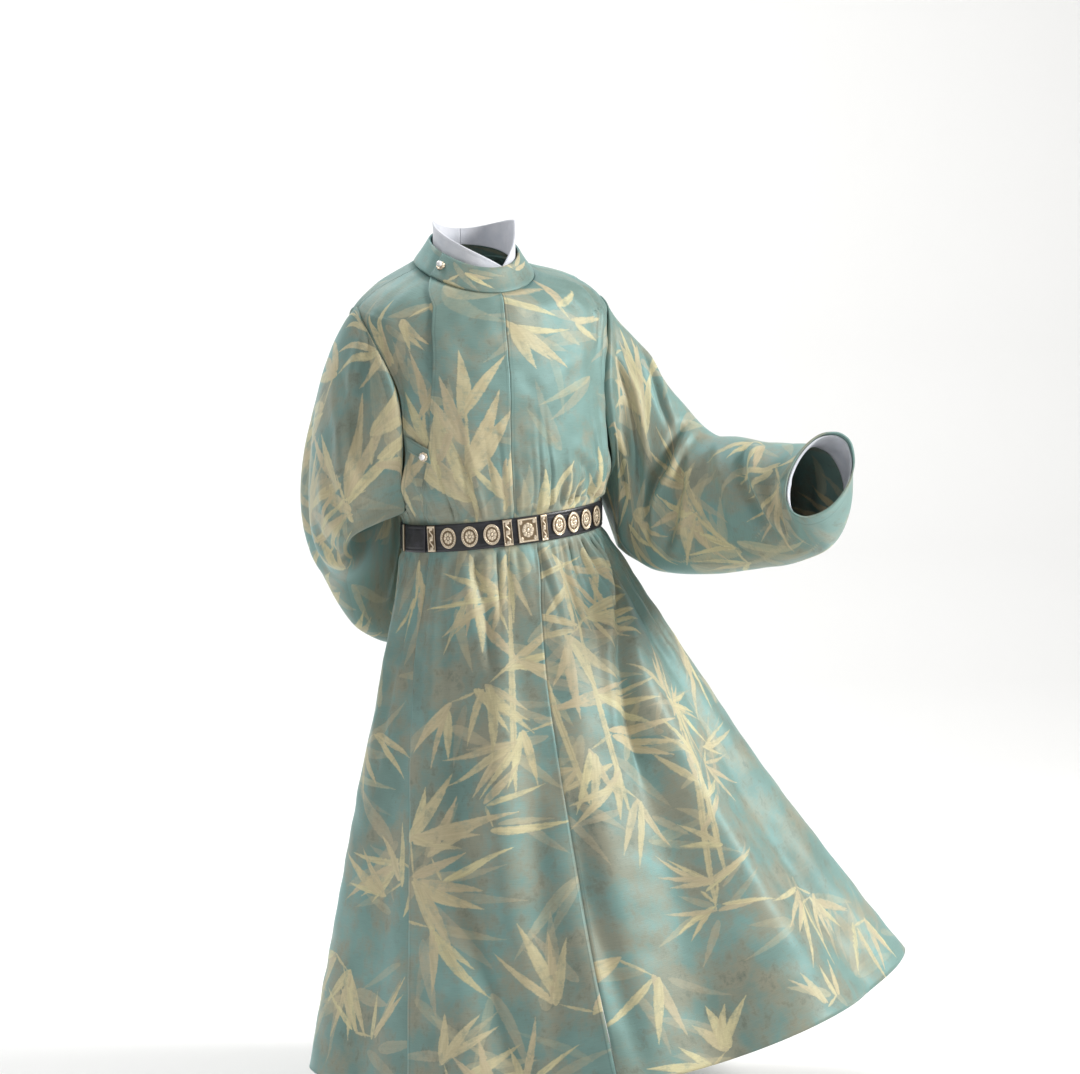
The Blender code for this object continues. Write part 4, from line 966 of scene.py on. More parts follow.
class Nodes:
    """Short calls that add nodes to one material."""

    def __init__(self, name, roughness, **sockets):
        self.material = bpy.data.materials.new(name)
        self.material.use_nodes = True
        self.tree = self.material.node_tree
        self.shader = self.tree.nodes["Principled BSDF"]
        self.shader.inputs["Roughness"].default_value = roughness
        for socket, value in sockets.items():
            self.shader.inputs[socket.replace("_", " ")].default_value = value

    def add(self, kind, inputs=(), out=0, **settings):
        node = self.tree.nodes.new(kind)
        for key, value in settings.items():
            setattr(node, key, value)
        for socket, value in dict(inputs).items():
            if isinstance(value, bpy.types.NodeSocket):
                self.tree.links.new(value, node.inputs[socket])
            else:
                node.inputs[socket].default_value = value
        return node.outputs[out]

    def cloth_place(self, across=1.0, along=1.0):
        place = self.add("ShaderNodeUVMap", uv_map="cloth")
        return self.add("ShaderNodeVectorMath", {0: place, 1: (across, along, 1.0)}, operation="MULTIPLY")

    def noise(self, place, scale, detail=4.0, rough=0.55):
        return self.add(
            "ShaderNodeTexNoise", {"Vector": place, "Scale": scale, "Detail": detail, "Roughness": rough}
        )

    def fit(self, value, low, high, to_low=0.0, to_high=1.0):
        sockets = {"Value": value, "From Min": low, "From Max": high, "To Min": to_low, "To Max": to_high}
        return self.add("ShaderNodeMapRange", sockets)

    def mix(self, share, a, b, blend="MIX"):
        return self.add(
            "ShaderNodeMix", {0: share, 6: a, 7: b}, out=2, data_type="RGBA", blend_type=blend
        )

    def math(self, operation, a, b=0.0, clamp=False):
        return self.add("ShaderNodeMath", {0: a, 1: b}, operation=operation, use_clamp=clamp)

    def times(self, a, b):
        return self.math("MULTIPLY", a, b)

    def attribute(self, name):
        return self.add("ShaderNodeAttribute", out=2, attribute_name=name)

    def parts(self, name):
        """The three numbers of a vector attribute."""
        split = self.tree.nodes.new("ShaderNodeSeparateXYZ")
        self.tree.links.new(self.add("ShaderNodeAttribute", out=1, attribute_name=name), split.inputs[0])
        return split.outputs

    def bump(self, height, distance, strength=1.0, under=None):
        sockets = {"Height": height, "Distance": distance, "Strength": strength}
        if under is not None:
            sockets["Normal"] = under
        return self.add("ShaderNodeBump", sockets)

    def finish(self, colour, roughness=None, normal=None):
        for socket, value in (("Base Color", colour), ("Roughness", roughness), ("Normal", normal)):
            if value is not None:
                self.tree.links.new(value, self.shader.inputs[socket])
        return self.material


def colour(r, g, b):
    return (r, g, b, 1.0)


TEAL = colour(0.222, 0.356, 0.330)
DULL_TEAL = colour(0.166, 0.232, 0.200)
BEIGE = colour(0.330, 0.290, 0.205)
DARK_FLECK = colour(0.105, 0.135, 0.115)
CREAM_LEAF = colour(0.670, 0.600, 0.345)
SAND_LEAF = colour(0.560, 0.450, 0.305)
LEAF_STREAK = colour(0.430, 0.355, 0.215)
THREAD_SHADE = colour(0.86, 0.86, 0.86)
STITCH_THREAD = colour(0.06, 0.10, 0.095)
SHEEN_TINT = colour(0.45, 0.92, 1.0)
GLOSS_TINT = colour(0.55, 0.96, 1.0)
UNCHANGED = colour(1.0, 1.0, 1.0)
COOL_WHITE = colour(0.60, 0.63, 0.70)
PALE_WHITE = colour(0.74, 0.75, 0.80)
BLACK_LEATHER = colour(0.010, 0.010, 0.014)
RUBBED_LEATHER = colour(0.040, 0.040, 0.052)
GILT = colour(0.780, 0.650, 0.460)
PALE_GILT = colour(0.860, 0.745, 0.620)
BROWN_HOLLOW = colour(0.200, 0.145, 0.090)
WARM_PEARL = colour(0.80, 0.76, 0.74)
COOL_PEARL = colour(0.88, 0.89, 0.92)
FLOOR_GREY = colour(0.86, 0.86, 0.86)
FLOOR_PALE = colour(0.89, 0.89, 0.89)
LEAF_RAGGED = 0.0023
LEAF_SOFT = 0.0007


def leaf_layer(n, layer, ragged):
    """How much one layer's leaf covers a place, and the leaf's streaked colour there."""
    s, t, curve = n.parts(f"leaf_{layer}")
    tone, strength, half = n.parts(f"look_{layer}")
    share = n.math("ADD", s, 0.0, clamp=True)
    swell = n.math("SINE", n.times(n.math("POWER", share, LEAF_SWELL), math.pi))
    swell = n.math("POWER", swell, LEAF_ROUND)
    middle = n.times(n.times(share, share), curve)
    aside = n.math("ABSOLUTE", n.math("SUBTRACT", t, middle))
    height = n.times(n.math("SUBTRACT", swell, aside), half)
    covered = n.fit(n.math("ADD", height, ragged), -LEAF_SOFT, LEAF_SOFT)
    within = n.math("LESS_THAN", n.math("ABSOLUTE", n.math("SUBTRACT", s, 0.5)), 0.5)
    covered = n.times(n.times(covered, within), strength)
    stretched, apart = n.times(s, 1.6), n.times(tone, 40.0)
    along = n.add("ShaderNodeCombineXYZ", {0: stretched, 1: t, 2: apart})
    streak = n.noise(along, 1.6, 4.0, 0.6)
    blade = n.mix(tone, CREAM_LEAF, SAND_LEAF)
    blade = n.mix(n.fit(streak, 0.42, 0.70, 0.0, 0.55), blade, LEAF_STREAK)
    return covered, blade


def robe_material():
    """Teal satin, faintly streaked, clouded with beige, with cream and sand bamboo leaves."""
    n = Nodes(
        "robe_satin", 0.5, Sheen_Weight=0.22, Sheen_Roughness=0.45, Sheen_Tint=SHEEN_TINT,
        Specular_IOR_Level=0.56, Specular_Tint=GLOSS_TINT,
    )
    place = n.cloth_place()
    broad = n.noise(place, 4.0, 4.0, 0.6)
    ground = n.mix(n.fit(broad, 0.34, 0.60), DULL_TEAL, TEAL)
    dust = n.attribute("dust")
    brushed = n.cloth_place(1.1, 0.8)
    cloud = n.noise(brushed, 15.0, 10.0, 0.68)
    dusted = n.math("ADD", cloud, n.times(dust, 0.10))
    ground = n.mix(n.fit(dusted, 0.505, 0.66, 0.0, 0.78), ground, BEIGE)
    fleck = n.math("ADD", n.noise(brushed, 60.0, 10.0, 0.75), n.times(dust, 0.05))
    clustered = n.times(n.fit(fleck, 0.56, 0.68, 0.0, 0.60), n.fit(broad, 0.42, 0.56, 1.0, 0.15))
    ground = n.mix(clustered, ground, DARK_FLECK)
    ragged = n.fit(n.noise(place, 170.0, 5.0, 0.7), 0.0, 1.0, -LEAF_RAGGED, LEAF_RAGGED)
    worn = n.fit(n.noise(place, 60.0, 8.0, 0.72), 0.37, 0.50, 0.5, 1.0)
    printed, cover = ground, 0.0
    for layer in range(PRINT_LAYERS):
        covered, blade = leaf_layer(n, layer, ragged)
        printed = n.mix(n.times(covered, worn), printed, blade)
        cover = n.math("MAXIMUM", covered, cover)
    streak = n.noise(n.cloth_place(60.0, 900.0), 1.0, 2.0)
    thread = n.mix(n.fit(streak, 0.2, 0.8), THREAD_SHADE, UNCHANGED)
    woven = n.mix(1.0, printed, thread, "MULTIPLY")
    stitch = n.attribute("stitch")
    line = n.times(n.fit(stitch, 0.0, STITCH), n.fit(stitch, STITCH, 2 * STITCH, 1.0, 0.0))
    woven = n.mix(n.times(line, 0.45), woven, STITCH_THREAD)
    weave = n.noise(n.cloth_place(1400.0, 1400.0), 1.0, 1.0)
    slub = n.noise(n.cloth_place(90.0, 1100.0), 1.0, 2.0)
    normal = n.bump(cover, 0.00010)
    normal = n.bump(slub, 0.00020, under=normal)
    normal = n.bump(weave, 0.00008, under=normal)
    return n.finish(woven, n.fit(cover, 0.0, 1.0, 0.47, 0.58), normal)


def white_material():
    """White cotton, a little cooler in random patches."""
    n = Nodes("white_cotton", 0.8, Sheen_Weight=0.2)
    place = n.cloth_place()
    tint = n.mix(n.fit(n.noise(place, 30.0, 5.0), 0.3, 0.7), COOL_WHITE, PALE_WHITE)
    weave = n.noise(n.cloth_place(1500.0, 1500.0), 1.0, 1.0)
    normal = n.bump(weave, 0.00012, under=n.bump(n.noise(place, 60.0, 4.0), 0.0008))
    return n.finish(tint, None, normal)


def leather_material():
    """Black leather with a fine grain, greyer where it is rubbed."""
    n = Nodes("black_leather", 0.4, Coat_Weight=0.15, Coat_Roughness=0.3)
    place = n.cloth_place()
    rubbed = n.fit(n.noise(place, 45.0, 8.0, 0.65), 0.45, 0.75)
    tint = n.mix(rubbed, BLACK_LEATHER, RUBBED_LEATHER)
    grain = n.add("ShaderNodeTexVoronoi", {"Vector": place, "Scale": 900.0})
    normal = n.bump(grain, 0.00010, under=n.bump(n.noise(place, 140.0, 4.0), 0.0003))
    return n.finish(tint, n.fit(rubbed, 0.0, 1.0, 0.34, 0.52), normal)


def brass_material():
    """Pale antique gilt, bright on its relief and brown in its hollows."""
    n = Nodes("pale_gilt", 0.4, Metallic=0.75)
    place = n.cloth_place()
    relief = n.attribute("relief")
    spot = n.noise(place, 420.0, 5.0, 0.6)
    high = n.mix(n.fit(spot, 0.3, 0.7), GILT, PALE_GILT)
    worn = n.fit(n.math("ADD", relief, n.fit(spot, 0.0, 1.0, -0.18, 0.18)), 0.10, 0.62)
    tint = n.mix(worn, BROWN_HOLLOW, high)
    normal = n.bump(spot, 0.00014)
    return n.finish(tint, n.fit(worn, 0.0, 1.0, 0.62, 0.34), normal)


def pearl_material():
    """Smooth pearl, faintly clouded."""
    n = Nodes("pearl", 0.18, Coat_Weight=0.6, Coat_Roughness=0.08)
    cloud = n.noise(n.cloth_place(), 260.0, 2.0)
    return n.finish(n.mix(n.fit(cloud, 0.3, 0.7), WARM_PEARL, COOL_PEARL))


def edge_curve(edges, down):
    return read_curve([edge.down for edge in edges], [edge.angle for edge in edges], down)


SLEEVE_AROUND = 144
SLEEVE_THETAS = np.linspace(-180, 180, SLEEVE_AROUND, endpoint=False)
ARMHOLE_MIDDLE = (ARMHOLE_TOP + ARMHOLE_BOTTOM) / 2
ARMHOLE_HALF = (ARMHOLE_BOTTOM - ARMHOLE_TOP) / 2


def panel_rows():
    """Distances down the robe for a panel's rows, which meet the sleeve's along the armhole."""
    turns = np.linspace(0, math.pi, SLEEVE_AROUND // 2 + 1)
    parts = [
        np.linspace(0.0, ARMHOLE_TOP, 12)[:-1],
        ARMHOLE_MIDDLE - ARMHOLE_HALF * np.cos(turns),
        np.linspace(ARMHOLE_BOTTOM, BELT_TOP, 5)[1:],
        np.linspace(BELT_TOP, BELT_BOTTOM, 6)[1:],
        np.linspace(BELT_BOTTOM, HEM, 158)[1:],
    ]
    return np.concatenate(parts)


def armhole_opening(down):
    """Half the armhole's width in degrees, at each distance down."""
    inside = np.clip(1 - ((down - ARMHOLE_MIDDLE) / ARMHOLE_HALF) ** 2, 0.0, 1.0)
    return ARMHOLE_HALF_ANGLE * np.sqrt(inside)


def seam_angle(angle, down, side):
    """An angle moved half the seam's gap to one side."""
    around = plain_point(angle + 0.5, down) - plain_point(angle - 0.5, down)
    return angle + side * 0.5 * SEAM / np.linalg.norm(around, axis=-1)


def spread_angles(low, high, columns):
    return low[:, None] + (high - low)[:, None] * np.linspace(0, 1, columns)[None, :]


def panel_angles(low, high, rows, columns):
    return spread_angles(seam_angle(low, rows, 1), seam_angle(high, rows, -1), columns)


def add_panel(name, angle, rows, middle, sprays, lift, seed, material):
    """A robe panel. Its flat cloth is measured from a middle angle and down from the neck."""
    down = np.repeat(rows[:, None], angle.shape[1], axis=1)
    scale = metres_per_degree(down)
    u, v = (angle - middle) * scale, down
    base = folded_point(angle, down)
    normal = outward(plain_point, angle, down)
    free = ease(down / CREASE_START) * (1 - ((down > BELT_TOP) & (down < BELT_BOTTOM)))
    off_belt = ease(np.abs(down - BELT_MIDDLE) / CREASE_START - 1.0)
    waves = wave_rise(angle * PANEL_WAVE_STEP, down, PANEL_WAVE_SEED)
    rise = crease_rise(angle, down, ROBE_CREASES, scale, 1.0) + waves
    rise = rise * off_belt * free + gather_rise(angle, down)
    creased = base + normal * rise[..., None]
    normal = grid_directions(creased, False)
    lift = np.broadcast_to(np.asarray(lift, float), down.shape)[..., None]
    roots = [(s, (s.angle - middle) * float(metres_per_degree(s.down)), s.down) for s in sprays]
    aside = np.minimum((angle - angle[:, :1]) * scale, (angle[:, -1:] - angle) * scale)
    sewn = np.minimum(np.abs(aside - SEAM_STITCH), np.abs(HEM - down - HEM_STITCH))
    fields = {"dust": dust_of(u, v, roots), "stitch": STITCH + sewn}
    outer, inner = creased + normal * (lift + CLOTH), creased + normal * lift
    piece = shell(name + "_cloth", outer, inner, u, v, material, fields=fields, placed=roots, seed=seed)
    return take_place(piece, name)


def mirrored(sprays):
    return tuple(s._replace(angle=-s.angle, heading=-s.heading) for s in sprays)


def add_panels(material):
    """The five panels of the robe. The front right one runs on below the overlapping one."""
    rows = panel_rows()
    back = np.full_like(rows, 180.0)
    opening = armhole_opening(rows)
    closure, centre = edge_curve(CLOSURE, rows), edge_curve(CENTRE_SEAM, rows)
    left = panel_angles(centre, 90 - opening, rows, LEFT_COLUMNS)
    overlap = panel_angles(closure, centre, rows, OVERLAP_COLUMNS)
    back_left = panel_angles(90 + opening, back, rows, BACK_COLUMNS)
    back_right = panel_angles(-back, -90 - opening, rows, BACK_COLUMNS)
    before = spread_angles(seam_angle(opening - 90, rows, 1), overlap[:, 0] - UNDER_DIP, UNDER_COLUMNS)
    under = np.concatenate([before, overlap[:, :-1]], axis=1)
    sunk = -(UNDER_DROP + UNDER_CLEAR) * ease(np.arange(under.shape[1]) / (UNDER_COLUMNS - 1))[None, :]
    panels = (
        ("front_left_panel", left, 30, LEFT_FRONT_SPRAYS, 0.0),
        ("front_overlap_panel", overlap, -30, OVERLAP_SPRAYS, 0.0),
        ("front_right_panel", under, -60, RIGHT_FRONT_SPRAYS, sunk),
        ("back_left_panel", back_left, 135, BACK_SPRAYS, 0.0),
        ("back_right_panel", back_right, -135, mirrored(BACK_SPRAYS), 0.0),
    )
    return {
        name: add_panel(name, angle, rows, middle, sprays, lift, seed, material)
        for seed, (name, angle, middle, sprays, lift) in enumerate(panels, FIRST_PANEL_SEED)
    }


def section_ring(side, section, thetas):
    """The points of one sleeve section: 0 is its top, and 90 the side that starts in front."""
    heading, lean, roll = (math.radians(a) for a in (section.heading, section.lean, section.roll))
    run = np.array([math.cos(heading) * math.cos(lean), math.sin(heading) * math.cos(lean), math.sin(lean)])
    fore = side * np.array([math.sin(heading), -math.cos(heading), 0.0])
    top = np.cross(fore, run)
    top = top if top[2] > 0 else -top
    up = top * math.cos(roll) - fore * math.sin(roll)
    across = fore * math.cos(roll) + top * math.sin(roll)
    turn = np.radians(thetas)[:, None]
    centre = np.array([section.x, section.y, section.z])
    depth = section.half_depth * (1 - section.taper * np.cos(turn))
    return centre + up * section.half_height * np.cos(turn) + across * depth * np.sin(turn)


def armhole_ring(side, thetas):
    """The armhole's edge on the robe, and the directions out of the robe and into the hole."""
    turn = np.radians(thetas)
    down = ARMHOLE_MIDDLE - ARMHOLE_HALF * np.cos(turn)
    angle = side * (90 - ARMHOLE_HALF_ANGLE * np.sin(turn))
    edge, _ = cloth_faces(angle, down, 0.0)
    normal = outward(folded_point, angle, down)
    centre = folded_point(np.full_like(angle, side * 90.0), np.full_like(down, ARMHOLE_MIDDLE))
    inward = centre - edge
    inward -= normal * np.sum(inward * normal, -1, keepdims=True)
    return edge, normal, unit(inward)


def sleeve_surface(side, sections, thetas, along):
    """Points of a sleeve's wall, from where it stands on the armhole's edge to its mouth."""
    edge, normal, _ = armhole_ring(side, thetas)
    front_and_back = np.sin(np.radians(thetas))[:, None] ** 2
    rings = [edge + normal * SLEEVE_ROOT, edge + normal * (SLEEVE_ROOT + SLEEVE_TURN * front_and_back)]
    rings += [section_ring(side, section, thetas) for section in sections]
    at = np.concatenate([[0.0, SLEEVE_TURN_SHARE], np.linspace(0, 1, len(sections) + 1)[1:]])
    return read_curve(at, np.array(rings), along, passing_slopes)


def away_from_middle(grid, normal):
    """The same directions, turned to point out of the tube."""
    spoke = grid - grid.mean(axis=1, keepdims=True)
    return normal * np.sign(np.sum(normal * spoke))


def creased_sleeve(side, sections, creases, thetas, along):
    """The middle of the sleeve's cloth with its creases, and its outward directions."""
    surface = sleeve_surface(side, sections, thetas, along)
    normal = away_from_middle(surface, grid_directions(surface, True))
    steps = np.linalg.norm(np.roll(surface, -1, axis=1) - surface, axis=-1)
    scale = steps.sum(1, keepdims=True) / 360
    turn, share = np.broadcast_arrays(thetas[None, :], along[:, None])
    length = SLEEVE_LENGTH[side]
    rise = crease_rise(turn, share, creases, scale, length)
    round_it = np.sin(np.radians(turn)) * SLEEVE_WAVE_REACH
    rise = rise + wave_rise(round_it, share * length, SLEEVE_WAVE_SEED + side)
    rise = rise * ease(share / SLEEVE_CREASES_FROM)
    surface = surface + normal * rise[..., None]
    return surface, away_from_middle(surface, grid_directions(surface, True)), scale


def add_sleeve(name, side, sections, creases, sprays, seed, material):
    root = np.linspace(0.0, SLEEVE_TURN_SHARE, 5)[:-1]
    along = np.concatenate([root, np.linspace(SLEEVE_TURN_SHARE, 1, 112)])
    surface, normal, scale = creased_sleeve(side, sections, creases, SLEEVE_THETAS, along)
    outer, inner = surface + normal * CLOTH / 2, surface - normal * CLOTH / 2
    edge, out, inward = armhole_ring(side, SLEEVE_THETAS)
    outer[0] = edge + out * SEAM
    inner[0] = edge + out * SEAM + inward * CLOTH
    length = SLEEVE_LENGTH[side]
    turns = np.append(SLEEVE_THETAS, 180.0)
    u = turns[None, :] * scale
    v = np.repeat(along[:, None], len(turns), axis=1) * length
    rows = np.clip(np.searchsorted(along, [s.down for s in sprays]), 0, len(along) - 1)
    roots = [(s, s.angle * float(scale[row, 0]), s.down * length) for s, row in zip(sprays, rows)]
    stitch = STITCH + np.abs((1 - along[:, None]) * length - CUFF_STITCH)
    stitch = np.broadcast_to(stitch, surface.shape[:2])
    fields = {"dust": dust_of(u[:, :-1], v[:, :-1], roots), "stitch": stitch}
    piece = shell(
        name + "_cloth", outer, inner, u, v, material, closed=True, fields=fields, placed=roots, seed=seed
    )
    return take_place(piece, name)


def add_inner_cuff(material):
    """The white cuff inside the left mouth, on the sleeve's own creased surface."""
    along = np.linspace(INNER_CUFF_START, INNER_CUFF_END, 20)
    surface, normal, scale = creased_sleeve(1, LEFT_SLEEVE, LEFT_SLEEVE_CREASES, SLEEVE_THETAS, along)
    top = CLOTH / 2 + INNER_CUFF_GAP
    outer, inner = surface - normal * top, surface - normal * (top + INNER_CLOTH)
    turns = np.append(SLEEVE_THETAS, 180.0)
    u = turns[None, :] * scale
    v = np.repeat(along[:, None], len(turns), axis=1) * SLEEVE_LENGTH[1]
    piece = shell("left_inner_cuff_cloth", outer, inner, u, v, material, closed=True)
    return take_place(piece, "left_inner_cuff")


def collar_top(angle):
    turn = np.radians(angle)
    across, ahead = np.sin(turn), np.cos(turn)
    depth = np.where(ahead > 0, COLLAR_TOP_FRONT, COLLAR_TOP_BACK)
    height = COLLAR_TOP_RISE - COLLAR_TOP_NOD * ahead - COLLAR_TOP_BOW * ahead**2
    return np.stack([COLLAR_TOP_WIDTH * across, -depth * ahead, height], -1)


def collar_point(angle, up):
    """A point of the standing collar band, from its seam at 0 to its top edge at 1."""
    seam, _ = cloth_faces(angle, np.zeros_like(angle), 0.0)
    top = collar_top(angle)
    lean = (up + COLLAR_ROUNDING * up * (1 - up))[..., None]
    flat = seam[..., :2] + (top[..., :2] - seam[..., :2]) * lean
    height = seam[..., 2] + (top[..., 2] - seam[..., 2]) * up
    return np.concatenate([flat, height[..., None]], -1)


def collar_outward(angle, up):
    around = collar_point(angle + 0.5, up) - collar_point(angle - 0.5, up)
    rising = collar_point(angle, up + 0.01) - collar_point(angle, up - 0.01)
    return unit(np.cross(around, rising))


def add_collar(material):
    turns = np.arange(0, 360 + COLLAR_STEP, COLLAR_STEP / 8)
    up, angle = np.meshgrid(np.linspace(0.0, 1.0, 20), CLOSURE[0].angle + turns, indexing="ij")
    surface, normal = collar_point(angle, up), collar_outward(angle, up)
    share = ease((turns - 360) / COLLAR_STEP + 1)[None, :]
    drop = (COLLAR_CLOTH + 2 * SEAM) * share
    rim = np.minimum(up, 1 - up)
    waves = wave_rise(
        angle * COLLAR_WAVE_STEP, up * COLLAR_WAVE_RISE, COLLAR_WAVE_SEED, COLLAR_WAVE_HEIGHT
    )
    puff = -COLLAR_EDGE * (1 - ease(rim / COLLAR_EDGE_SHARE)) + waves
    outer = surface + normal * (COLLAR_CLOTH - drop + puff)[..., None]
    inner = surface - normal * drop[..., None]
    u, v = (angle - CLOSURE[0].angle) * COLLAR_PER_DEGREE, COLLAR_HEIGHT * (1 - up)
    roots = [(s, s.angle * COLLAR_PER_DEGREE, COLLAR_HEIGHT * (1 - s.down)) for s in COLLAR_SPRAYS]
    fields = {"dust": dust_of(u, v, roots), "stitch": STITCH + np.abs(rim * COLLAR_HEIGHT - SEAM_STITCH)}
    piece = shell(
        "collar_band_cloth", outer, inner, u, v, material, fields=fields, placed=roots, seed=COLLAR_SEED
    )
    return take_place(piece, "collar_band")


def inner_edge(angle, side):
    """The height of one side's upper edge, which falls to the crossing in front."""
    foot = INNER_RIGHT_SIDE if side < 0 else INNER_LEFT_SIDE
    share = np.minimum((angle - INNER_POINT) / (foot - INNER_POINT), 1.0)
    return INNER_LOW + (INNER_HIGH - INNER_LOW) * share


def add_inner_collar(name, side, material):
    """A white strip from the back of the neck to just past the front, its edge turned over."""
    turns = np.linspace(side * INNER_BACK, INNER_POINT - side * INNER_CROSSING, 120)
    up, angle = np.meshgrid(np.linspace(0.0, 1.0, 24), turns, indexing="ij")
    rim = collar_top(angle)
    foot = rim[..., 2] - INNER_DEPTH
    dip = INNER_BACK_DIP * ease((np.abs(angle) - 90) / 90)
    height = foot + np.maximum(inner_edge(angle, side) - dip - foot, INNER_LEAST) * up
    over = ease((INNER_OVER_FROM - angle) / INNER_OVER_WITHIN)[..., None] if side > 0 else 0.0
    direction = np.stack([np.sin(np.radians(angle)), -np.cos(np.radians(angle)), 0 * angle], -1)
    face = rim * INNER_SHARE + direction * over * (INNER_CLOTH + SEAM)
    face = np.concatenate([face[..., :2], height[..., None]], -1)
    roll = INNER_ROLL * ease((up - 0.86) / 0.05) * ease((1 - up) / 0.05)
    outer, inner = face + direction * roll[..., None], face - direction * INNER_CLOTH
    piece = shell(name + "_cloth", outer, inner, angle * INNER_PER_DEGREE, height, material)
    return take_place(piece, name)


def add_tab(material):
    """The strap that carries the side button, thinner along its edges."""
    share, angle = np.meshgrid(np.linspace(0, 1, 14), np.linspace(TAB_START, TAB_END, 30), indexing="ij")
    slope = TAB_SLOPE * (angle - TAB_START) / (TAB_END - TAB_START)
    edge = np.minimum(share, 1 - share) * TAB_HEIGHT
    thickness = CLOTH * (0.72 + 0.28 * ease(edge / TAB_STITCH))
    down = TAB_DOWN + slope + TAB_HEIGHT * share
    outer, inner = cloth_faces(angle, down, CLOTH + SEAM, thickness)
    u, v = (angle - TAB_START) * TAB_PER_DEGREE, TAB_HEIGHT * share
    fields = {"dust": np.ones_like(u), "stitch": STITCH + np.abs(edge - TAB_STITCH)}
    piece = shell("fastening_tab_cloth", outer, inner, u, v, material, fields=fields, placed=[])
    return take_place(piece, "fastening_tab")


def add_strip(name, node, turns, lift, thickness, material, closed):
    """A leather strip round the belt with rounded edges and a pressed line along each."""
    shares = np.linspace(0, 1, 33)
    share, angle = np.meshgrid(shares, turns, indexing="ij")
    down = BELT_MIDDLE + STRAP_HEIGHT * (share - 0.5)
    edge = np.minimum(share, 1 - share) * STRAP_HEIGHT
    rounding = LEATHER_ROUNDING * (1 - ease(edge / LEATHER_EDGE))
    pressed = PRESS_DEPTH * np.exp(-(((edge - PRESS_IN) / PRESS_WIDTH) ** 2))
    outer, inner = cloth_faces(angle, down, lift, thickness - rounding - pressed)
    width = turns[1] - turns[0]
    wide = np.append(turns, turns[-1] + width) if closed else turns
    v, u = np.meshgrid(shares * STRAP_HEIGHT, wide * BELT_PER_DEGREE, indexing="ij")
    piece = shell(name, outer, inner, u, v, material, closed=closed)
    return take_place(piece, node)


def frame_at(point_of, angle, level, upward):
    """A place on a surface for a fitting: X runs round the wearer and Z points outward."""
    here = Vector(point_of(angle, level).tolist())
    around = Vector((point_of(angle + 0.5, level) - point_of(angle - 0.5, level)).tolist()).normalized()
    rising = Vector((point_of(angle, level + upward) - point_of(angle, level - upward)).tolist())
    normal = around.cross(rising).normalized()
    turn = Matrix((around, normal.cross(around), normal)).transposed().to_4x4()
    return Matrix.Translation(here) @ turn


def belt_face(angle, down):
    outer, _ = cloth_faces(np.array([angle]), np.array([down]), BELT_LIFT, BELT_THICKNESS)
    return outer[0]


def collar_face(angle, up):
    angle, up = np.array([angle]), np.array([up])
    return (collar_point(angle, up) + collar_outward(angle, up) * COLLAR_CLOTH)[0]


def tab_face(angle, down):
    outer, _ = cloth_faces(np.array([angle]), np.array([down]), CLOTH + SEAM)
    return outer[0]


def flower(x, y, petals):
    """A little relief of petals round a boss, for places within one unit of its middle."""
    r, turn = np.hypot(x, y), np.arctan2(y, x)
    petal = (0.35 + 0.65 * np.abs(np.cos(turn * petals / 2))) * np.exp(-(((r - 0.56) / 0.26) ** 4))
    boss = np.exp(-((r / 0.20) ** 4))
    return np.maximum(petal * 0.8, boss)


def medallion_relief(x, y):
    r, turn = np.hypot(x, y), np.arctan2(y, x)
    rim = np.exp(-(((r - 0.93) / 0.06) ** 4)) * 0.8
    beads = np.exp(-(((r - 0.79) / 0.07) ** 2)) * (0.35 + 0.65 * np.abs(np.cos(turn * 11)))
    return np.maximum.reduce([rim, beads * 0.9, flower(x / 0.66, y / 0.66, 8)])


def rosette_relief(x, y):
    border = np.maximum(np.abs(x), np.abs(y))
    frame = np.exp(-(((border - 0.92) / 0.07) ** 4)) * 0.8
    corner = np.hypot(np.abs(x) - 0.68, np.abs(y) - 0.68)
    curls = np.exp(-((corner / 0.17) ** 4)) * 0.7
    return np.maximum.reduce([frame, curls, flower(x / 0.72, y / 0.72, 8)])


def vine_relief(x, y):
    frame = np.exp(-(((np.maximum(np.abs(x), np.abs(y)) - 0.90) / 0.10) ** 4)) * 0.8
    stem = np.exp(-(((x - 0.36 * np.sin(y * 8)) / 0.20) ** 4))
    bud = np.exp(-(((np.abs(np.cos(y * 4)) - 1) / 0.20) ** 2)) * np.exp(-((x / 0.42) ** 4))
    return np.maximum.reduce([frame, stem * 0.7, bud * 0.9])


def bar_relief(x, y):
    return 0.5 + 0.5 * np.cos(x * 1.2) - 0.2 * np.exp(-(((np.abs(y) - 0.86) / 0.04) ** 2))


RELIEFS = {"medallion": medallion_relief, "rosette": rosette_relief, "vine": vine_relief, "bar": bar_relief}


def plate(name, x, y, relief, width, height, thickness, depth, place, material, closed):
    """A closed plate with a carved face, from a grid of places within a unit disc or square."""
    border = np.hypot(x, y) if closed else np.maximum(np.abs(x), np.abs(y))
    bevel = 1 - ease((border - 0.90) / 0.10)
    top = thickness - depth * (1 - relief) - RELIEF_BEVEL * (1 - bevel)
    face = np.stack([x * width / 2, y * height / 2, top], -1)
    back = np.stack([x * width / 2, y * height / 2, np.zeros_like(x)], -1)
    wide = np.concatenate([x, x[:, :1]], 1) if closed else x
    tall = np.concatenate([y, y[:, :1]], 1) if closed else y
    u, v = wide * width / 2, tall * height / 2
    piece = shell(name, face, back, u, v, material, closed=closed, fields={"relief": relief * bevel})
    piece.data.transform(place)
    return piece


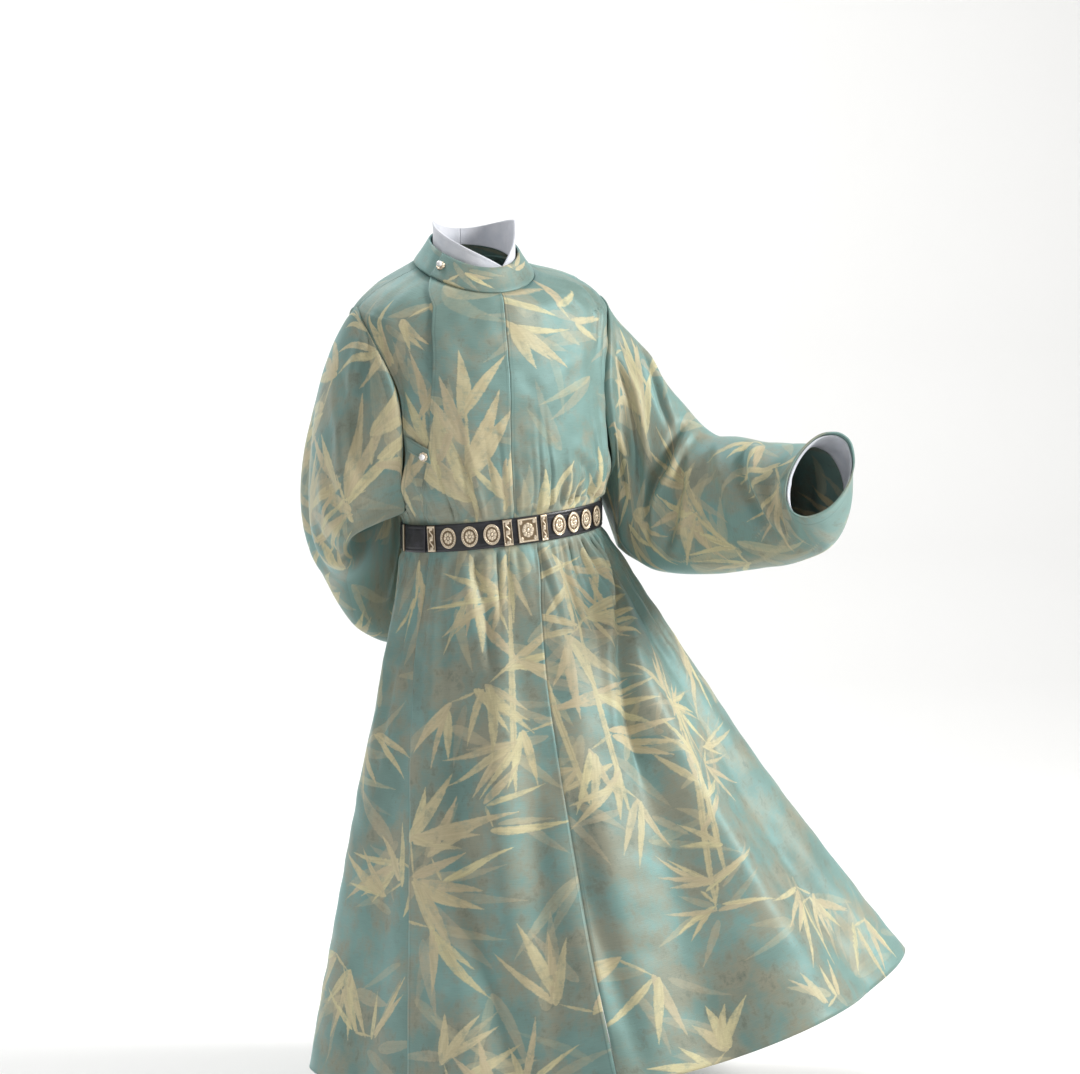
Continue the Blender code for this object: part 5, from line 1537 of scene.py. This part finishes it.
def disc_grid(rings, spokes, scallop=0.0, lobes=16):
    """Places over a unit disc, in rings that leave a tiny hole in the middle."""
    turns = np.linspace(0, 2 * math.pi, spokes, endpoint=False)
    radius, turn = np.meshgrid(np.linspace(0.004, 1, rings), turns, indexing="ij")
    radius = radius * (1 - scallop * (0.5 - 0.5 * np.cos(turn * lobes)))
    return radius * np.cos(turn), radius * np.sin(turn)


def square_grid(across, tall):
    y, x = np.meshgrid(np.linspace(-1, 1, tall), np.linspace(-1, 1, across), indexing="ij")
    return x, y


def add_fitting(fitting, material):
    """One plaque, bar or medallion, seated on the strap."""
    place = frame_at(belt_face, fitting.angle, BELT_MIDDLE, -0.005) @ Matrix.Translation((0, 0, SEAM))
    round_one = fitting.shape == "medallion"
    x, y = disc_grid(34, 96, 0.035) if round_one else square_grid(34, 44)
    relief = np.clip(RELIEFS[fitting.shape](x, y), 0, 1)
    node = "belt_" + fitting.name
    piece = plate(
        node + "_relief", x, y, relief, fitting.width, fitting.height,
        PLAQUE_THICKNESS, RELIEF_DEPTH, place, material, round_one,
    )
    return take_place(piece, node)


def add_button(name, place, brass, pearl):
    """A pearl on a small petalled mount."""
    x, y = disc_grid(20, 72, 0.14, 8)
    relief = np.clip(0.25 + 0.6 * flower(x * 0.62, y * 0.62, 8), 0, 1)
    seat = place @ Matrix.Translation((0, 0, BUTTON_SEAT))
    size = 2 * PEARL_MOUNT_RADIUS
    mount = plate(
        name + "_petals", x, y, relief, size, size,
        PEARL_MOUNT_THICKNESS, PETAL_DEPTH, seat, brass, True,
    )
    take_place(mount, name + "_mount")
    turns, rises = np.linspace(0, 2 * math.pi, 40, endpoint=False), np.linspace(-1.55, 1.55, 24)
    turn, rise = np.meshgrid(turns, rises)
    ball = np.stack([np.cos(turn) * np.cos(rise), np.sin(turn) * np.cos(rise), np.sin(rise)], -1)
    ball = ball * PEARL_RADIUS
    u, v = np.meshgrid(np.append(turns, 2 * math.pi) * PEARL_RADIUS, rises * PEARL_RADIUS)
    bead = shell(name + "_bead", ball, ball * PEARL_HOLLOW, u, v, pearl, closed=True)
    rise_to = BUTTON_SEAT + PEARL_MOUNT_THICKNESS + SEAM + PEARL_RADIUS
    bead.data.transform(place @ Matrix.Translation((0, 0, rise_to)))
    take_place(bead, name + "_pearl")


def add_buttons(brass, pearl):
    add_button("collar_button", frame_at(collar_face, COLLAR_BUTTON_ANGLE, 0.5, 0.05), brass, pearl)
    down = TAB_DOWN + TAB_SLOPE + TAB_HEIGHT / 2
    add_button("side_button", frame_at(tab_face, SIDE_BUTTON_ANGLE, down, -0.002), brass, pearl)


def add_camera():
    """The camera that the photograph was taken with."""
    turn, tilt = math.radians(CAMERA_TURN), math.radians(CAMERA_TILT)
    right = Vector((math.cos(turn), math.sin(turn), 0))
    back = Vector((math.sin(turn), -math.cos(turn), 0))
    ahead = -back * math.cos(tilt) - Vector((0, 0, math.sin(tilt)))
    data = bpy.data.cameras.new("camera")
    data.sensor_width = SENSOR
    data.lens = CAMERA_FOCAL_PX * SENSOR / IMAGE_WIDTH_PX
    camera = link_object("camera", data)
    rotation = Matrix((right, right.cross(ahead), -ahead)).transposed().to_4x4()
    place = right * CAMERA_SIDE + back * CAMERA_BACK + Vector((0, 0, CAMERA_RISE))
    camera.matrix_world = Matrix.Translation(place) @ rotation
    bpy.context.scene.camera = camera


def add_light(light):
    data = bpy.data.lights.new(light.name, "AREA")
    data.size = light.size
    data.energy = light.power
    data.color = light.tint
    place = Vector(light.place)
    aim = (Vector(light.target) - place).to_track_quat("-Z", "Y").to_matrix().to_4x4()
    link_object(light.name, data).matrix_world = Matrix.Translation(place) @ aim


def add_studio():
    """A plain pale floor that curves up behind, and soft light from the front left and right."""
    turn = math.radians(CAMERA_TURN)
    right = Vector((math.cos(turn), math.sin(turn), 0))
    far = Vector((-math.sin(turn), math.cos(turn), 0))
    points = [
        far * back + right * aside + Vector((0, 0, FLOOR_Z + height))
        for back, height in FLOOR_LINE for aside in (-FLOOR_HALF_WIDTH, FLOOR_HALF_WIDTH)
    ]
    quads = [(2 * i, 2 * i + 1, 2 * i + 3, 2 * i + 2) for i in range(len(FLOOR_LINE) - 1)]
    mesh = bpy.data.meshes.new("floor")
    mesh.from_pydata(points, [], quads)
    mesh.shade_smooth()
    n = Nodes("floor_paper", 0.9)
    cloud = n.add("ShaderNodeTexNoise", {"Scale": 2.0})
    mesh.materials.append(n.finish(n.mix(n.fit(cloud, 0.3, 0.7), FLOOR_GREY, FLOOR_PALE)))
    link_object("floor", mesh)
    world = bpy.data.worlds.new("studio")
    world.use_nodes = True
    sky = world.node_tree.nodes["Background"].inputs
    sky["Color"].default_value = WORLD_COLOUR
    sky["Strength"].default_value = WORLD_STRENGTH
    bpy.context.scene.world = world
    for light in LIGHTS:
        add_light(light)
    bpy.context.scene.view_settings.view_transform = "Standard"


def main():
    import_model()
    add_camera()
    robe, white, brass = robe_material(), white_material(), brass_material()
    leather, pearl = leather_material(), pearl_material()
    cloth = add_panels(robe)
    cloth["left_sleeve"] = add_sleeve(
        "left_sleeve", 1, LEFT_SLEEVE, LEFT_SLEEVE_CREASES, LEFT_SLEEVE_SPRAYS, LEFT_SLEEVE_SEED, robe
    )
    cloth["right_sleeve"] = add_sleeve(
        "right_sleeve", -1, RIGHT_SLEEVE, RIGHT_SLEEVE_CREASES, RIGHT_SLEEVE_SPRAYS, RIGHT_SLEEVE_SEED, robe
    )
    cloth["left_inner_cuff"] = add_inner_cuff(white)
    cloth["collar_band"] = add_collar(robe)
    cloth["inner_collar_right"] = add_inner_collar("inner_collar_right", -1, white)
    cloth["inner_collar_left"] = add_inner_collar("inner_collar_left", 1, white)
    cloth["fastening_tab"] = add_tab(robe)
    add_strip(
        "belt_strap_leather", "belt_strap", np.linspace(-180, 180, 240, endpoint=False),
        BELT_LIFT, BELT_THICKNESS, leather, True,
    )
    add_strip(
        "belt_keeper_leather", "belt_keeper", np.linspace(KEEPER_START, KEEPER_END, 24),
        BELT_LIFT + BELT_THICKNESS + SEAM, KEEPER_PROUD, leather, False,
    )
    for fitting in FITTINGS:
        add_fitting(fitting, brass)
    add_buttons(brass, pearl)
    add_studio()


main()
